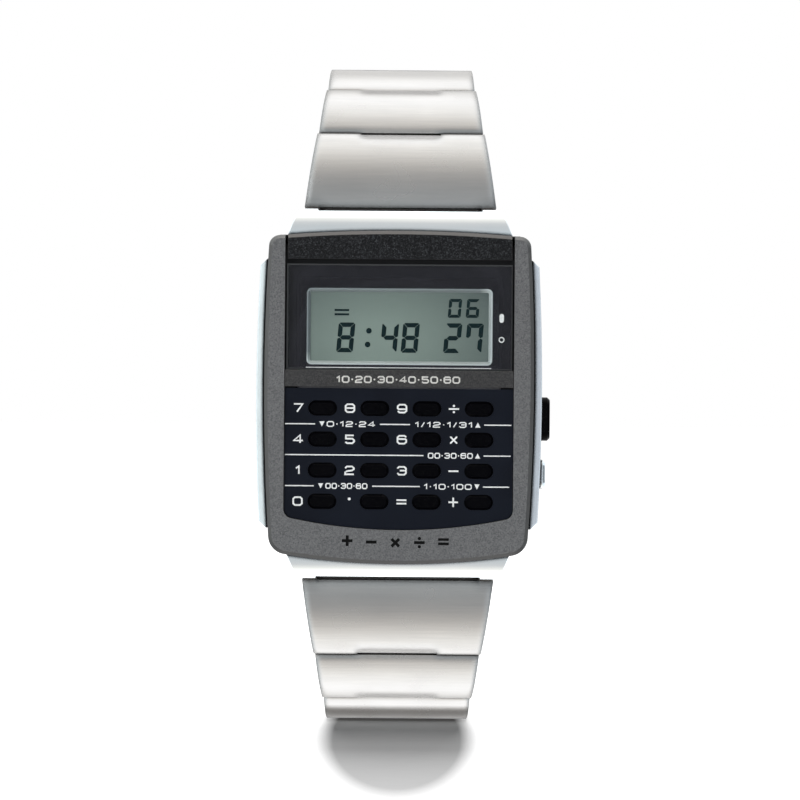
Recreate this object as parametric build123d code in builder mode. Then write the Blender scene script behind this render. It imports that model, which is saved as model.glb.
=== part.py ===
from build123d import *
import os
from math import cos, radians, sin

# Calculator watch, millimetres. +X points to 3 o'clock, +Z to 12 o'clock, and the dial faces -Y.
# The origin is the centre of the case back's flat face.

# Case, front to back
case_thickness = 8.2        # bezel front to case back
bezel_thickness = 2.0
side_wall = 4.2             # cavity to the ends of the side flanges
flange_bow = 0.46           # how far the flange sides bulge beyond that
flange_end_z = 15.7
flange_corner = 0.8
flange_front_drop = 1.25    # flange lip behind the bezel's front
rear_step = 0.5             # case back stands this proud of the resin
rear_bevel = 1.6
fit_gap = 0.1               # seam between pieces laid in the face
slip_gap = 0.03             # gap round a piece that drops into a pocket
overrun = 1.0               # how far a cut runs past the material

# Horns
horn_start_z = 14.5
horn_start_half = 14.7
horn_tip_half = 11.9
horn_corner = 0.9
horn_tip_front = 3.3        # horn tip behind the bezel's front
horn_tip_rear = 5.6
skin_trim = 0.22            # the front skin ends this far short of the lug tips

# Bezel outline and opening
bezel_top_half = 15.2
bezel_low_half = 15.0
bezel_bow = 0.5
bezel_top_z = 19.0
bezel_low_z = -19.8
bezel_top_arch = 0.7
bezel_low_arch = 1.35
bezel_top_corner = 1.3
bezel_low_corner = 2.2
bezel_bevel = 0.42
opening_half = 13.35
opening_low_z = -15.85
opening_low_arch = 1.5
opening_corner = 1.1
strip_side_gap = 0.3        # black gap at each end of the header strip

# Pieces laid in the face, by height
strip_low_z = 15.65
strip_drop = 0.15
crystal_top_z = 15.1
crystal_low_z = 2.8
crystal_drop = 0.2
crystal_thickness = 1.2
crystal_bevel = 0.18
bar_low_z = 0.8
bar_drop = 0.1
plate_top_z = 0.62
plate_drop = 0.6

# Display
window_z = 7.85
window_width = 20.8
window_height = 8.05
frame_band = 0.45
frame_corner = 0.6
frame_lip = 0.28            # slope round the inside of the pale frame
frame_drop = 0.12           # pale frame below the surround's front
glass_side = 1.2            # glass beyond its window at each side
glass_room = 0.4            # and the cavity beyond the glass
glass_end_room = 1.45
glass_height = 11.4
glass_thickness = 1.0
zebra_width = 0.9
zebra_length = 20.0
reflector_thickness = 0.15

# Keys
key_columns = 4
key_rows = 4
key_pitch_x = 6.08
key_pitch_z = 3.62
key_centre_x = 0.23
key_top_row_z = -1.70
key_length = 3.22
key_height = 1.64
key_proud = 0.3
key_clearance = 0.08
key_crown = 0.2
key_skirt = 0.3             # how far the skirt reaches beyond the cap
key_skirt_thickness = 0.35
key_travel = 0.3
dome_inset = 0.25
rubber_web = 0.5
key_names = [
    "key_7", "key_8", "key_9", "key_divide",
    "key_4", "key_5", "key_6", "key_multiply",
    "key_1", "key_2", "key_3", "key_subtract",
    "key_0", "key_point", "key_equals", "key_add",
]

# Module
cavity_corner = 2.0
module_gap = 0.15
module_wall = 1.85          # resin left round the battery
board_front = 4.4           # board front, in front of the case back's face
board_thickness = 0.6
module_rear = 1.0
battery_diameter = 20.0
battery_thickness = 1.6
battery_rim = 0.25
battery_gap = 0.15
battery_z = -3.0
battery_front = 2.75
clip_width = 6.0
clip_thickness = 0.15
chip_size = 6.0
chip_thickness = 1.0
chip_room = 0.8             # chip below the cavity's top
sounder_radius = 3.6
sounder_thickness = 0.2
sounder_room = 0.4          # disc below the cavity's top

# Case back
back_side_margin = 1.35     # case back beyond its gasket
back_end_margin = 1.55
back_corner = 3.0
back_thickness = 0.8
back_bevel = 0.2
gasket_margin = 0.75        # gasket's outside beyond the cavity
gasket_corner = 3.2
gasket_width = 0.5
gasket_depth = 0.5
screw_side_inset = 1.5      # screws from the case back's edges
screw_end_inset = 1.4
screw_head_radius = 0.9
screw_head_thickness = 0.4
screw_radius = 0.5
screw_length = 3.0
screw_slot = 0.25

# Side buttons
mode_button_z = -2.8
mode_button_height = 5.1
mode_button_width = 2.2
mode_button_proud = 1.0
mode_button_travel = 0.5
adjust_button_z = -9.26
adjust_button_height = 3.4
adjust_button_width = 1.9
adjust_button_proud = 0.5
adjust_button_travel = 0.35
button_depth = 4.1          # button axis in front of the case back's face
button_pocket_depth = 1.0
button_pocket_gap = 0.12
button_corner = 0.3
stem_radius = 0.6
stem_clearance = 0.05
stem_reach = 0.1            # stem end inside the cavity when pressed
seal_thickness = 0.8
seal_band = 0.4
seal_inset = 1.2            # seal from the pocket floor
running_gap = 0.04

# Bracelet: pivots, one chord per link from the lug to the clasp
lug_pivot_depth = 5.2       # behind the bezel's front
lug_web = 1.45              # resin between the case back and the lug pocket
lug_reach = 1.4             # lug tips beyond the pivot
end_link_length = 10.4
link_length = 8.0
link_angles = [26.0, 46.0, 68.0, 90.0, 113.0, 138.0, 163.0]   # chords, turned back from +Z
seam_halves = [11.45, 9.85, 8.85, 8.4, 8.1, 7.9, 7.8, 7.8]    # half widths at the seams
link_front = 1.3            # outer face above the pivot line
link_rear = 0.95            # inner face below it
link_slope = 18.0           # crowned face's slope where it meets the nose
flat_link_number = 3        # the link that the watch stands on isn't crowned
link_shoulder = 1.1         # how far the face rolls down to a seam
shoulder_drop = 0.6
seam_gap = 0.12
lug_radius = 1.45
end_tongue_half = 9.5
tongue_half = 4.6
tongue_gap = 0.12
knuckle_radius = 0.88
lip_radius = 1.0            # inside of the lip that covers the tongue
lip_angle = 58.0            # where the lip ends, above the chord
neck_top = 0.42
pin_radius = 0.45
pin_inset = 0.45            # pin end inside the link's side
end_link_wall = 0.9         # wall round the open back of the end link
end_link_skin = 0.8         # its front, left by that hollow
spring_bar_radius = 0.6
spring_tip_radius = 0.36
spring_tip_length = 1.0

# Clasp
leaf_half = 4.9
leaf_thickness = 1.0
leaf_gap = 0.5
leaf_low_pivot_z = 16.5
leaf_top_pivot_z = 18.2
leaf_knuckle_radius = 0.85
leaf_knuckle_half = 2.3
clasp_pin_radius = 0.4
cover_thickness = 1.1
cover_wall = 0.6
cover_wall_gap = 0.16
cover_end_z = 19.0
cover_low_end_z = 15.9
cover_wall_end_z = 18.2
cover_wall_slope = 1.0      # how far the walls' top end leans back
cover_corner = 0.8
cover_ear_radius = 1.15
cover_ear_bore = 0.5
setting_holes = 4           # for the spring bar, in each side wall
setting_hole_radius = 0.4
setting_hole_pitch = 2.4
setting_hole_low_z = -14.0

os.makedirs("parts", exist_ok=True)

face_y = -case_thickness
deck_y = face_y + bezel_thickness
flange_y = face_y + flange_front_drop
seat_y = -back_thickness

# The cavity takes the display and the battery. The case back, flanges and lugs lie round it.
pocket_radius = battery_diameter / 2 + battery_gap
cavity_half_x = max(window_width / 2 + glass_side + glass_room, pocket_radius + module_wall)
cavity_half_z = max(window_z + glass_height / 2 + glass_end_room, pocket_radius + module_wall - battery_z)
glass_width = 2 * (cavity_half_x - glass_room)
gasket_half_x = cavity_half_x + gasket_margin
gasket_half_z = cavity_half_z + gasket_margin
back_half_x = gasket_half_x + back_side_margin
back_half_z = gasket_half_z + back_end_margin
flange_half = cavity_half_x + side_wall
lug_pivot_z = back_half_z + lug_web + lug_radius
case_half_length = lug_pivot_z + lug_reach


def front_plane(y):
    """Plane seen from the front: x right, z up, its normal towards the viewer."""
    return Plane(origin=(0, y, 0), x_dir=(1, 0, 0), z_dir=(0, -1, 0))


def side_plane(x):
    """Plane seen from 3 o'clock: its x is +Y and its y is +Z."""
    return Plane(origin=(x, 0, 0), x_dir=(0, 1, 0), z_dir=(1, 0, 0))


def save(piece, name):
    piece.part.label = name
    export_step(piece.part, f"parts/{name}.step")


def arched_face(top_half, low_half, bow, top_z, low_z, top_arch, low_arch):
    """Face with bowed sides and arched ends, in the sketch that is open."""
    middle = (max(top_half, low_half) + bow, (top_z + low_z) / 2)
    with BuildLine() as outline:
        ThreePointArc((-top_half, top_z - top_arch), (0, top_z), (top_half, top_z - top_arch))
        ThreePointArc((top_half, top_z - top_arch), middle, (low_half, low_z + low_arch))
        ThreePointArc((low_half, low_z + low_arch), (0, low_z), (-low_half, low_z + low_arch))
        ThreePointArc(
            (-low_half, low_z + low_arch), (-middle[0], middle[1]), (-top_half, top_z - top_arch)
        )
    make_face(outline.edges())


def bezel_face(grow):
    arched_face(
        bezel_top_half + grow, bezel_low_half + grow, bezel_bow,
        bezel_top_z + grow, bezel_low_z - grow, bezel_top_arch, bezel_low_arch,
    )
    fillet(vertices().group_by(Axis.Y)[-1], bezel_top_corner)
    fillet(vertices().group_by(Axis.Y)[0], bezel_low_corner)


def opening_face(shrink, top_z):
    """The bezel's opening from its arched foot up to top_z."""
    half = opening_half - shrink
    low_z = opening_low_z + shrink
    with BuildLine() as outline:
        Polyline((-half, low_z + opening_low_arch), (-half, top_z), (half, top_z),
                 (half, low_z + opening_low_arch))
        ThreePointArc((half, low_z + opening_low_arch), (0, low_z), (-half, low_z + opening_low_arch))
    make_face(outline.edges())
    fillet(vertices().group_by(Axis.Y)[0], opening_corner)


def band_of_face(half, low_z, top_z):
    """Rectangle of the face between two heights."""
    with Locations((0, (low_z + top_z) / 2)):
        Rectangle(2 * half, top_z - low_z)


key_places = [
    (key_centre_x + (column - (key_columns - 1) / 2) * key_pitch_x, key_top_row_z - row * key_pitch_z)
    for row in range(key_rows)
    for column in range(key_columns)
]

# Bracelet pivots as (y, z) of the upper half. The lower half is its mirror image.
pivots = [(face_y + lug_pivot_depth, lug_pivot_z)]
for number, angle in enumerate(link_angles):
    chord = link_length if number else end_link_length
    y, z = pivots[-1]
    pivots.append((y + chord * sin(radians(angle)), z + chord * cos(radians(angle))))
last_pivot_y, last_pivot_z = pivots[-1]

# Case middle: horns from their side profile, trimmed to the front outline, with the block between
horn_front_y = face_y + horn_tip_front
horn_rear_y = face_y + horn_tip_rear
horn_root_z = back_half_z + fit_gap
resin_rear_y = -rear_step
pocket_front_y = face_y + lug_pivot_depth - lug_radius
pocket_low_z = lug_pivot_z - lug_radius
stem_plane_y = -button_depth
pocket_floor_x = flange_half - button_pocket_depth
seal_x = pocket_floor_x - seal_inset

screw_x = back_half_x - screw_side_inset
screw_z = back_half_z - screw_end_inset

with BuildPart() as case_middle:
    with BuildSketch(side_plane(0)):
        with BuildLine():
            Line((resin_rear_y, 0), (deck_y, 0))
            Line((deck_y, 0), (deck_y, bezel_top_z - bezel_bow))
            ThreePointArc(
                (deck_y, bezel_top_z - bezel_bow),
                ((deck_y + horn_front_y) / 2 - skin_trim, (bezel_top_z + case_half_length) / 2),
                (horn_front_y, case_half_length),
            )
            Line((horn_front_y, case_half_length), (horn_rear_y, case_half_length))
            Line((horn_rear_y, case_half_length), (resin_rear_y, horn_root_z))
            Line((resin_rear_y, horn_root_z), (resin_rear_y, 0))
        make_face()
    extrude(amount=horn_start_half, both=True)
    mirror(about=Plane.XY)
    with BuildSketch(front_plane(0)):
        with BuildLine():
            Polyline(
                (-horn_start_half, -horn_start_z), (-horn_start_half, horn_start_z),
                (-horn_tip_half, case_half_length), (horn_tip_half, case_half_length),
                (horn_start_half, horn_start_z), (horn_start_half, -horn_start_z),
                (horn_tip_half, -case_half_length), (-horn_tip_half, -case_half_length),
                close=True,
            )
        make_face()
        fillet(vertices().group_by(Axis.Y)[-1] + vertices().group_by(Axis.Y)[0], horn_corner)
    extrude(amount=case_thickness, mode=Mode.INTERSECT)
    # Block with the side flanges
    with BuildSketch(front_plane(resin_rear_y)):
        with BuildLine():
            for side in (1, -1):
                ThreePointArc(
                    (side * flange_half, -side * flange_end_z),
                    (side * (flange_half + flange_bow), 0),
                    (side * flange_half, side * flange_end_z),
                )
                Line((side * flange_half, side * flange_end_z), (-side * flange_half, side * flange_end_z))
        make_face()
        chamfer(vertices(), flange_corner)
    extrude(amount=resin_rear_y - flange_y)
    rear_edges = faces().sort_by(Axis.Y)[-1].edges()
    long_edges = rear_edges.group_by(Axis.X)[0] + rear_edges.group_by(Axis.X)[-1]
    chamfer(long_edges, rear_bevel)
    # Bed for the bezel
    with BuildSketch(front_plane(deck_y)):
        bezel_face(fit_gap)
    extrude(amount=bezel_thickness, mode=Mode.SUBTRACT)
    # Seat of the case back, its gasket groove and the module's cavity
    with BuildSketch(front_plane(seat_y)):
        RectangleRounded(2 * (back_half_x + slip_gap), 2 * (back_half_z + slip_gap), back_corner)
    extrude(amount=-back_thickness, mode=Mode.SUBTRACT)
    with BuildSketch(front_plane(seat_y)):
        RectangleRounded(2 * gasket_half_x, 2 * gasket_half_z, gasket_corner)
        RectangleRounded(
            2 * (gasket_half_x - gasket_width), 2 * (gasket_half_z - gasket_width),
            gasket_corner - gasket_width, mode=Mode.SUBTRACT,
        )
    extrude(amount=gasket_depth, mode=Mode.SUBTRACT)
    with BuildSketch(front_plane(0)):
        RectangleRounded(2 * cavity_half_x, 2 * cavity_half_z, cavity_corner)
    extrude(amount=case_thickness, mode=Mode.SUBTRACT)
    with BuildSketch(front_plane(seat_y)):
        with GridLocations(2 * screw_x, 2 * screw_z, 2, 2):
            Circle(screw_radius + slip_gap)
    extrude(amount=screw_length, mode=Mode.SUBTRACT)
    # Pockets between the lugs, and the trimmed edge of the skin in front of them
    for up in (1, -1):
        with BuildSketch(side_plane(0)):
            pocket_middle_z = (pocket_low_z + case_half_length + overrun) / 2
            with Locations(((pocket_front_y + overrun) / 2, up * pocket_middle_z)):
                Rectangle(overrun - pocket_front_y, case_half_length + overrun - pocket_low_z)
            with Locations((face_y / 2, up * (case_half_length + (overrun - skin_trim) / 2))):
                Rectangle(case_thickness, overrun + skin_trim)
        extrude(amount=end_tongue_half + tongue_gap, both=True, mode=Mode.SUBTRACT)
    with BuildSketch(side_plane(0)):
        with Locations(pivots[0], (pivots[0][0], -pivots[0][1])):
            Circle(spring_tip_radius + slip_gap)
    extrude(amount=end_tongue_half + spring_tip_length + tongue_gap, both=True, mode=Mode.SUBTRACT)
    # Button pockets, stem bores and seal grooves in the 3 o'clock wall
    for button_z, height, width in (
        (mode_button_z, mode_button_height, mode_button_width),
        (adjust_button_z, adjust_button_height, adjust_button_width),
    ):
        with BuildSketch(side_plane(pocket_floor_x)):
            with Locations((stem_plane_y, button_z)):
                SlotOverall(height + 2 * button_pocket_gap, width + 2 * button_pocket_gap, rotation=90)
        extrude(amount=button_pocket_depth + flange_bow + overrun, mode=Mode.SUBTRACT)
        with BuildSketch(side_plane(cavity_half_x - overrun)):
            with Locations((stem_plane_y, button_z)):
                Circle(stem_radius + stem_clearance)
        extrude(amount=pocket_floor_x - cavity_half_x + 2 * overrun, mode=Mode.SUBTRACT)
        with BuildSketch(side_plane(seal_x - seal_thickness / 2)):
            with Locations((stem_plane_y, button_z)):
                Circle(stem_radius + running_gap + seal_band + slip_gap)
        extrude(amount=seal_thickness, mode=Mode.SUBTRACT)
save(case_middle, "case_middle")

with BuildPart() as bezel:
    with BuildSketch(front_plane(deck_y)):
        bezel_face(0)
    extrude(amount=bezel_thickness)
    chamfer(faces().sort_by(Axis.Y)[0].edges(), bezel_bevel)
    with BuildSketch(front_plane(deck_y)):
        opening_face(0, bezel_top_z + overrun)
    extrude(amount=bezel_thickness, mode=Mode.SUBTRACT)
save(bezel, "bezel")

# The header strip closes the bezel's open top, with the same arch and bevel
with BuildPart() as header_strip:
    with BuildSketch(front_plane(deck_y)):
        bezel_face(0)
    extrude(amount=bezel_thickness - strip_drop)
    chamfer(faces().sort_by(Axis.Y)[0].edges(), bezel_bevel)
    with BuildSketch(front_plane(deck_y)):
        band_of_face(opening_half - strip_side_gap, strip_low_z, bezel_top_z + overrun)
    extrude(amount=bezel_thickness, mode=Mode.INTERSECT)
save(header_strip, "header_strip")

with BuildPart() as window_bar:
    with BuildSketch(front_plane(deck_y)):
        band_of_face(opening_half - fit_gap / 2, bar_low_z, crystal_low_z - fit_gap / 2)
    extrude(amount=bezel_thickness - bar_drop)
save(window_bar, "window_bar")

crystal_half = opening_half - 2 * fit_gap
surround_y = face_y + crystal_drop + crystal_thickness
with BuildPart() as window_crystal:
    with BuildSketch(front_plane(surround_y)):
        band_of_face(crystal_half, crystal_low_z, crystal_top_z)
    extrude(amount=crystal_thickness)
    chamfer(faces().sort_by(Axis.Y)[0].edges(), crystal_bevel)
save(window_crystal, "window_crystal")

# Display: surround, pale frame, glass, reflector and the two zebra connectors
frame_width = window_width + 2 * frame_band
frame_height = window_height + 2 * frame_band
with BuildPart() as lcd_surround:
    with BuildSketch(front_plane(deck_y)):
        band_of_face(crystal_half, crystal_low_z, crystal_top_z)
        with Locations((0, window_z)):
            RectangleRounded(
                frame_width + slip_gap, frame_height + slip_gap, frame_corner, mode=Mode.SUBTRACT
            )
    extrude(amount=deck_y - surround_y)
save(lcd_surround, "lcd_surround")

with BuildPart() as lcd_frame:
    with BuildSketch(front_plane(deck_y)):
        with Locations((0, window_z)):
            RectangleRounded(frame_width, frame_height, frame_corner)
            RectangleRounded(window_width, window_height, frame_corner - frame_band, mode=Mode.SUBTRACT)
    extrude(amount=deck_y - surround_y - frame_drop)
    chamfer(faces().sort_by(Axis.Y)[0].inner_wires()[0].edges(), frame_lip)
save(lcd_frame, "lcd_frame")

glass_rear_y = deck_y + glass_thickness
with BuildPart() as lcd_glass:
    with BuildSketch(front_plane(glass_rear_y)):
        with Locations((0, window_z)):
            Rectangle(glass_width, glass_height)
    extrude(amount=glass_thickness)
save(lcd_glass, "lcd_glass")

zebra_offset = (glass_height - zebra_width) / 2
with BuildPart() as lcd_reflector:
    with BuildSketch(front_plane(glass_rear_y + reflector_thickness)):
        with Locations((0, window_z)):
            Rectangle(zebra_length, 2 * zebra_offset - zebra_width - 2 * fit_gap)
    extrude(amount=reflector_thickness)
save(lcd_reflector, "lcd_reflector")

with BuildPart() as zebra_connectors:
    with BuildSketch(front_plane(-board_front)):
        with Locations((0, window_z - zebra_offset), (0, window_z + zebra_offset)):
            Rectangle(zebra_length, zebra_width)
    extrude(amount=-board_front - glass_rear_y)
save(zebra_connectors, "zebra_connectors")

# Keypad: plate, domed rubber and sixteen caps
plate_y = face_y + plate_drop
skirt_front_y = deck_y - key_travel - key_skirt_thickness - slip_gap
skirt_length = key_length + 2 * key_skirt
skirt_height = key_height + 2 * key_skirt
with BuildPart() as keypad_plate:
    with BuildSketch(front_plane(deck_y)):
        opening_face(fit_gap / 2, plate_top_z)
        with Locations(*key_places):
            SlotOverall(key_length + 2 * key_clearance, key_height + 2 * key_clearance, mode=Mode.SUBTRACT)
    extrude(amount=deck_y - plate_y)
    with BuildSketch(front_plane(deck_y)):
        with Locations(*key_places):
            Rectangle(skirt_length + 2 * key_clearance, skirt_height + 2 * key_clearance)
    extrude(amount=deck_y - skirt_front_y + slip_gap, mode=Mode.SUBTRACT)
save(keypad_plate, "keypad_plate")

rubber_half = cavity_half_x - module_gap
rubber_top_z = window_z - glass_height / 2 - module_gap
with BuildPart() as key_rubber:
    with BuildSketch(front_plane(-board_front)):
        band_of_face(rubber_half, module_gap - cavity_half_z + cavity_corner / 2, rubber_top_z)
    extrude(amount=rubber_web)
    with BuildSketch(front_plane(-board_front - rubber_web)):
        with Locations(*key_places):
            Rectangle(skirt_length - 2 * dome_inset, skirt_height - 2 * dome_inset)
    extrude(amount=-board_front - rubber_web - deck_y)
save(key_rubber, "key_rubber")

for name, place in zip(key_names, key_places):
    with BuildPart() as key:
        with BuildSketch(front_plane(skirt_front_y)):
            with Locations(place):
                SlotOverall(key_length, key_height)
        extrude(amount=skirt_front_y - plate_y + key_proud)
        chamfer(faces().sort_by(Axis.Y)[0].edges(), key_crown)
        with BuildSketch(front_plane(skirt_front_y + key_skirt_thickness)):
            with Locations(place):
                Rectangle(skirt_length, skirt_height)
        extrude(amount=key_skirt_thickness)
    save(key, name)

# Module behind the keypad and display
with BuildPart() as circuit_board:
    with BuildSketch(front_plane(board_thickness - board_front)):
        RectangleRounded(2 * rubber_half, 2 * (cavity_half_z - module_gap), cavity_corner)
    extrude(amount=board_thickness)
save(circuit_board, "circuit_board")

board_rear_y = board_thickness - board_front
chip_z = cavity_half_z - chip_room - chip_size / 2
with BuildPart() as timer_chip:
    with BuildSketch(front_plane(board_rear_y + chip_thickness)):
        with Locations((0, chip_z)):
            Rectangle(chip_size, chip_size)
    extrude(amount=chip_thickness)
    chamfer(faces().sort_by(Axis.Y)[-1].edges(), chip_thickness / 8)
save(timer_chip, "timer_chip")

with BuildPart() as module_frame:
    with BuildSketch(front_plane(-module_rear)):
        RectangleRounded(2 * rubber_half, 2 * (cavity_half_z - module_gap), cavity_corner)
    extrude(amount=-module_rear - board_rear_y)
    with BuildSketch(front_plane(-module_rear)):
        with Locations((0, battery_z)):
            Circle(pocket_radius)
    extrude(amount=battery_front - module_rear, mode=Mode.SUBTRACT)
    with BuildSketch(front_plane(board_rear_y)):
        with Locations((0, chip_z)):
            Rectangle(chip_size + 2 * module_gap, chip_size + 2 * module_gap)
    extrude(amount=-chip_thickness - module_gap, mode=Mode.SUBTRACT)
save(module_frame, "module_frame")

with BuildPart() as battery:
    with BuildSketch(front_plane(battery_thickness - battery_front)):
        with Locations((0, battery_z)):
            Circle(battery_diameter / 2)
    extrude(amount=battery_thickness)
    chamfer(faces().sort_by(Axis.Y)[0].edges(), battery_rim)
save(battery, "battery")

clip_half = cavity_half_x - module_gap
with BuildPart() as battery_clip:
    with BuildSketch(front_plane(clip_thickness - module_rear)):
        with Locations((0, battery_z)):
            RectangleRounded(2 * clip_half, clip_width, clip_width / 4)
            with Locations((-clip_half + clip_width / 4, 0), (clip_half - clip_width / 4, 0)):
                Circle(clip_width / 10, mode=Mode.SUBTRACT)
    extrude(amount=clip_thickness)
save(battery_clip, "battery_clip")

with BuildPart() as sounder_disc:
    with BuildSketch(front_plane(seat_y)):
        with Locations((0, cavity_half_z - sounder_room - sounder_radius)):
            Circle(sounder_radius)
    extrude(amount=sounder_thickness)
save(sounder_disc, "sounder_disc")

# Case back with its gasket and four screws
with BuildPart() as case_back:
    with BuildSketch(front_plane(0)):
        RectangleRounded(2 * back_half_x, 2 * back_half_z, back_corner)
    extrude(amount=back_thickness)
    chamfer(faces().sort_by(Axis.Y)[-1].edges(), back_bevel)
    with BuildSketch(front_plane(0)):
        with GridLocations(2 * screw_x, 2 * screw_z, 2, 2):
            Circle(screw_radius + slip_gap)
    extrude(amount=back_thickness, mode=Mode.SUBTRACT)
    with BuildSketch(front_plane(0)):
        with GridLocations(2 * screw_x, 2 * screw_z, 2, 2):
            Circle(screw_head_radius + slip_gap)
    extrude(amount=screw_head_thickness, mode=Mode.SUBTRACT)
save(case_back, "case_back")

with BuildPart() as back_gasket:
    with BuildSketch(front_plane(seat_y)):
        RectangleRounded(
            2 * (gasket_half_x - slip_gap), 2 * (gasket_half_z - slip_gap), gasket_corner - slip_gap
        )
        RectangleRounded(
            2 * (gasket_half_x - gasket_width + slip_gap), 2 * (gasket_half_z - gasket_width + slip_gap),
            gasket_corner - gasket_width + slip_gap, mode=Mode.SUBTRACT,
        )
    extrude(amount=gasket_depth - slip_gap)
save(back_gasket, "back_gasket")

with BuildPart() as back_screws:
    with BuildSketch(front_plane(0)):
        with GridLocations(2 * screw_x, 2 * screw_z, 2, 2):
            Circle(screw_head_radius)
    extrude(amount=screw_head_thickness)
    with BuildSketch(front_plane(0)):
        with GridLocations(2 * screw_x, 2 * screw_z, 2, 2):
            Circle(screw_radius)
    extrude(amount=back_thickness + screw_length - slip_gap)
    with BuildSketch(front_plane(0)):
        with GridLocations(2 * screw_x, 2 * screw_z, 2, 2):
            Rectangle(2 * screw_head_radius, screw_slot)
            Rectangle(screw_slot, 2 * screw_head_radius)
    extrude(amount=screw_head_thickness / 2, mode=Mode.SUBTRACT)
save(back_screws, "back_screws")

# Side buttons: a pill-shaped cap and the stem that reaches the module
for name, button_z, height, width, proud in (
    ("mode_button", mode_button_z, mode_button_height, mode_button_width, mode_button_proud),
    ("adjust_button", adjust_button_z, adjust_button_height, adjust_button_width, adjust_button_proud),
):
    travel = mode_button_travel if name == "mode_button" else adjust_button_travel
    cap_inner_x = pocket_floor_x + travel + running_gap
    with BuildPart() as button:
        with BuildSketch(side_plane(cap_inner_x)):
            with Locations((stem_plane_y, button_z)):
                SlotOverall(height, width, rotation=90)
        extrude(amount=flange_half + flange_bow + proud - cap_inner_x)
        chamfer(faces().sort_by(Axis.X)[-1].edges(), button_corner)
        with BuildSketch(side_plane(cavity_half_x - stem_reach + travel)):
            with Locations((stem_plane_y, button_z)):
                Circle(stem_radius)
        extrude(amount=cap_inner_x - cavity_half_x + stem_reach - travel)
    save(button, name)

with BuildPart() as button_seals:
    with BuildSketch(side_plane(seal_x - seal_thickness / 2 + slip_gap)):
        with Locations((stem_plane_y, mode_button_z), (stem_plane_y, adjust_button_z)):
            Circle(stem_radius + running_gap + seal_band)
            Circle(stem_radius + running_gap, mode=Mode.SUBTRACT)
    extrude(amount=seal_thickness - 2 * slip_gap)
save(button_seals, "button_seals")

with BuildPart() as spring_bars:
    with BuildSketch(side_plane(0)):
        with Locations(pivots[0], (pivots[0][0], -pivots[0][1])):
            Circle(spring_bar_radius)
    extrude(amount=end_tongue_half, both=True)
    with BuildSketch(side_plane(0)):
        with Locations(pivots[0], (pivots[0][0], -pivots[0][1])):
            Circle(spring_tip_radius)
    extrude(amount=end_tongue_half + spring_tip_length, both=True)
save(spring_bars, "spring_bars")


def link_plane(number, up):
    """Section plane of a link: its x runs along the chord, its y points out of the bracelet."""
    y, z = pivots[number]
    tilt = radians(link_angles[number])
    return Plane(
        origin=(0, y, up * z),
        x_dir=(0, sin(tilt), up * cos(tilt)),
        z_dir=(up, 0, 0),
    )


def face_of_link(number, up):
    """Plane of a link's pivots, seen from outside: its x runs along the chord, its y across."""
    y, z = pivots[number]
    tilt = radians(link_angles[number])
    return Plane(
        origin=(0, y, up * z),
        x_dir=(0, sin(tilt), up * cos(tilt)),
        z_dir=(0, -cos(tilt), up * sin(tilt)),
    )


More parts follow.
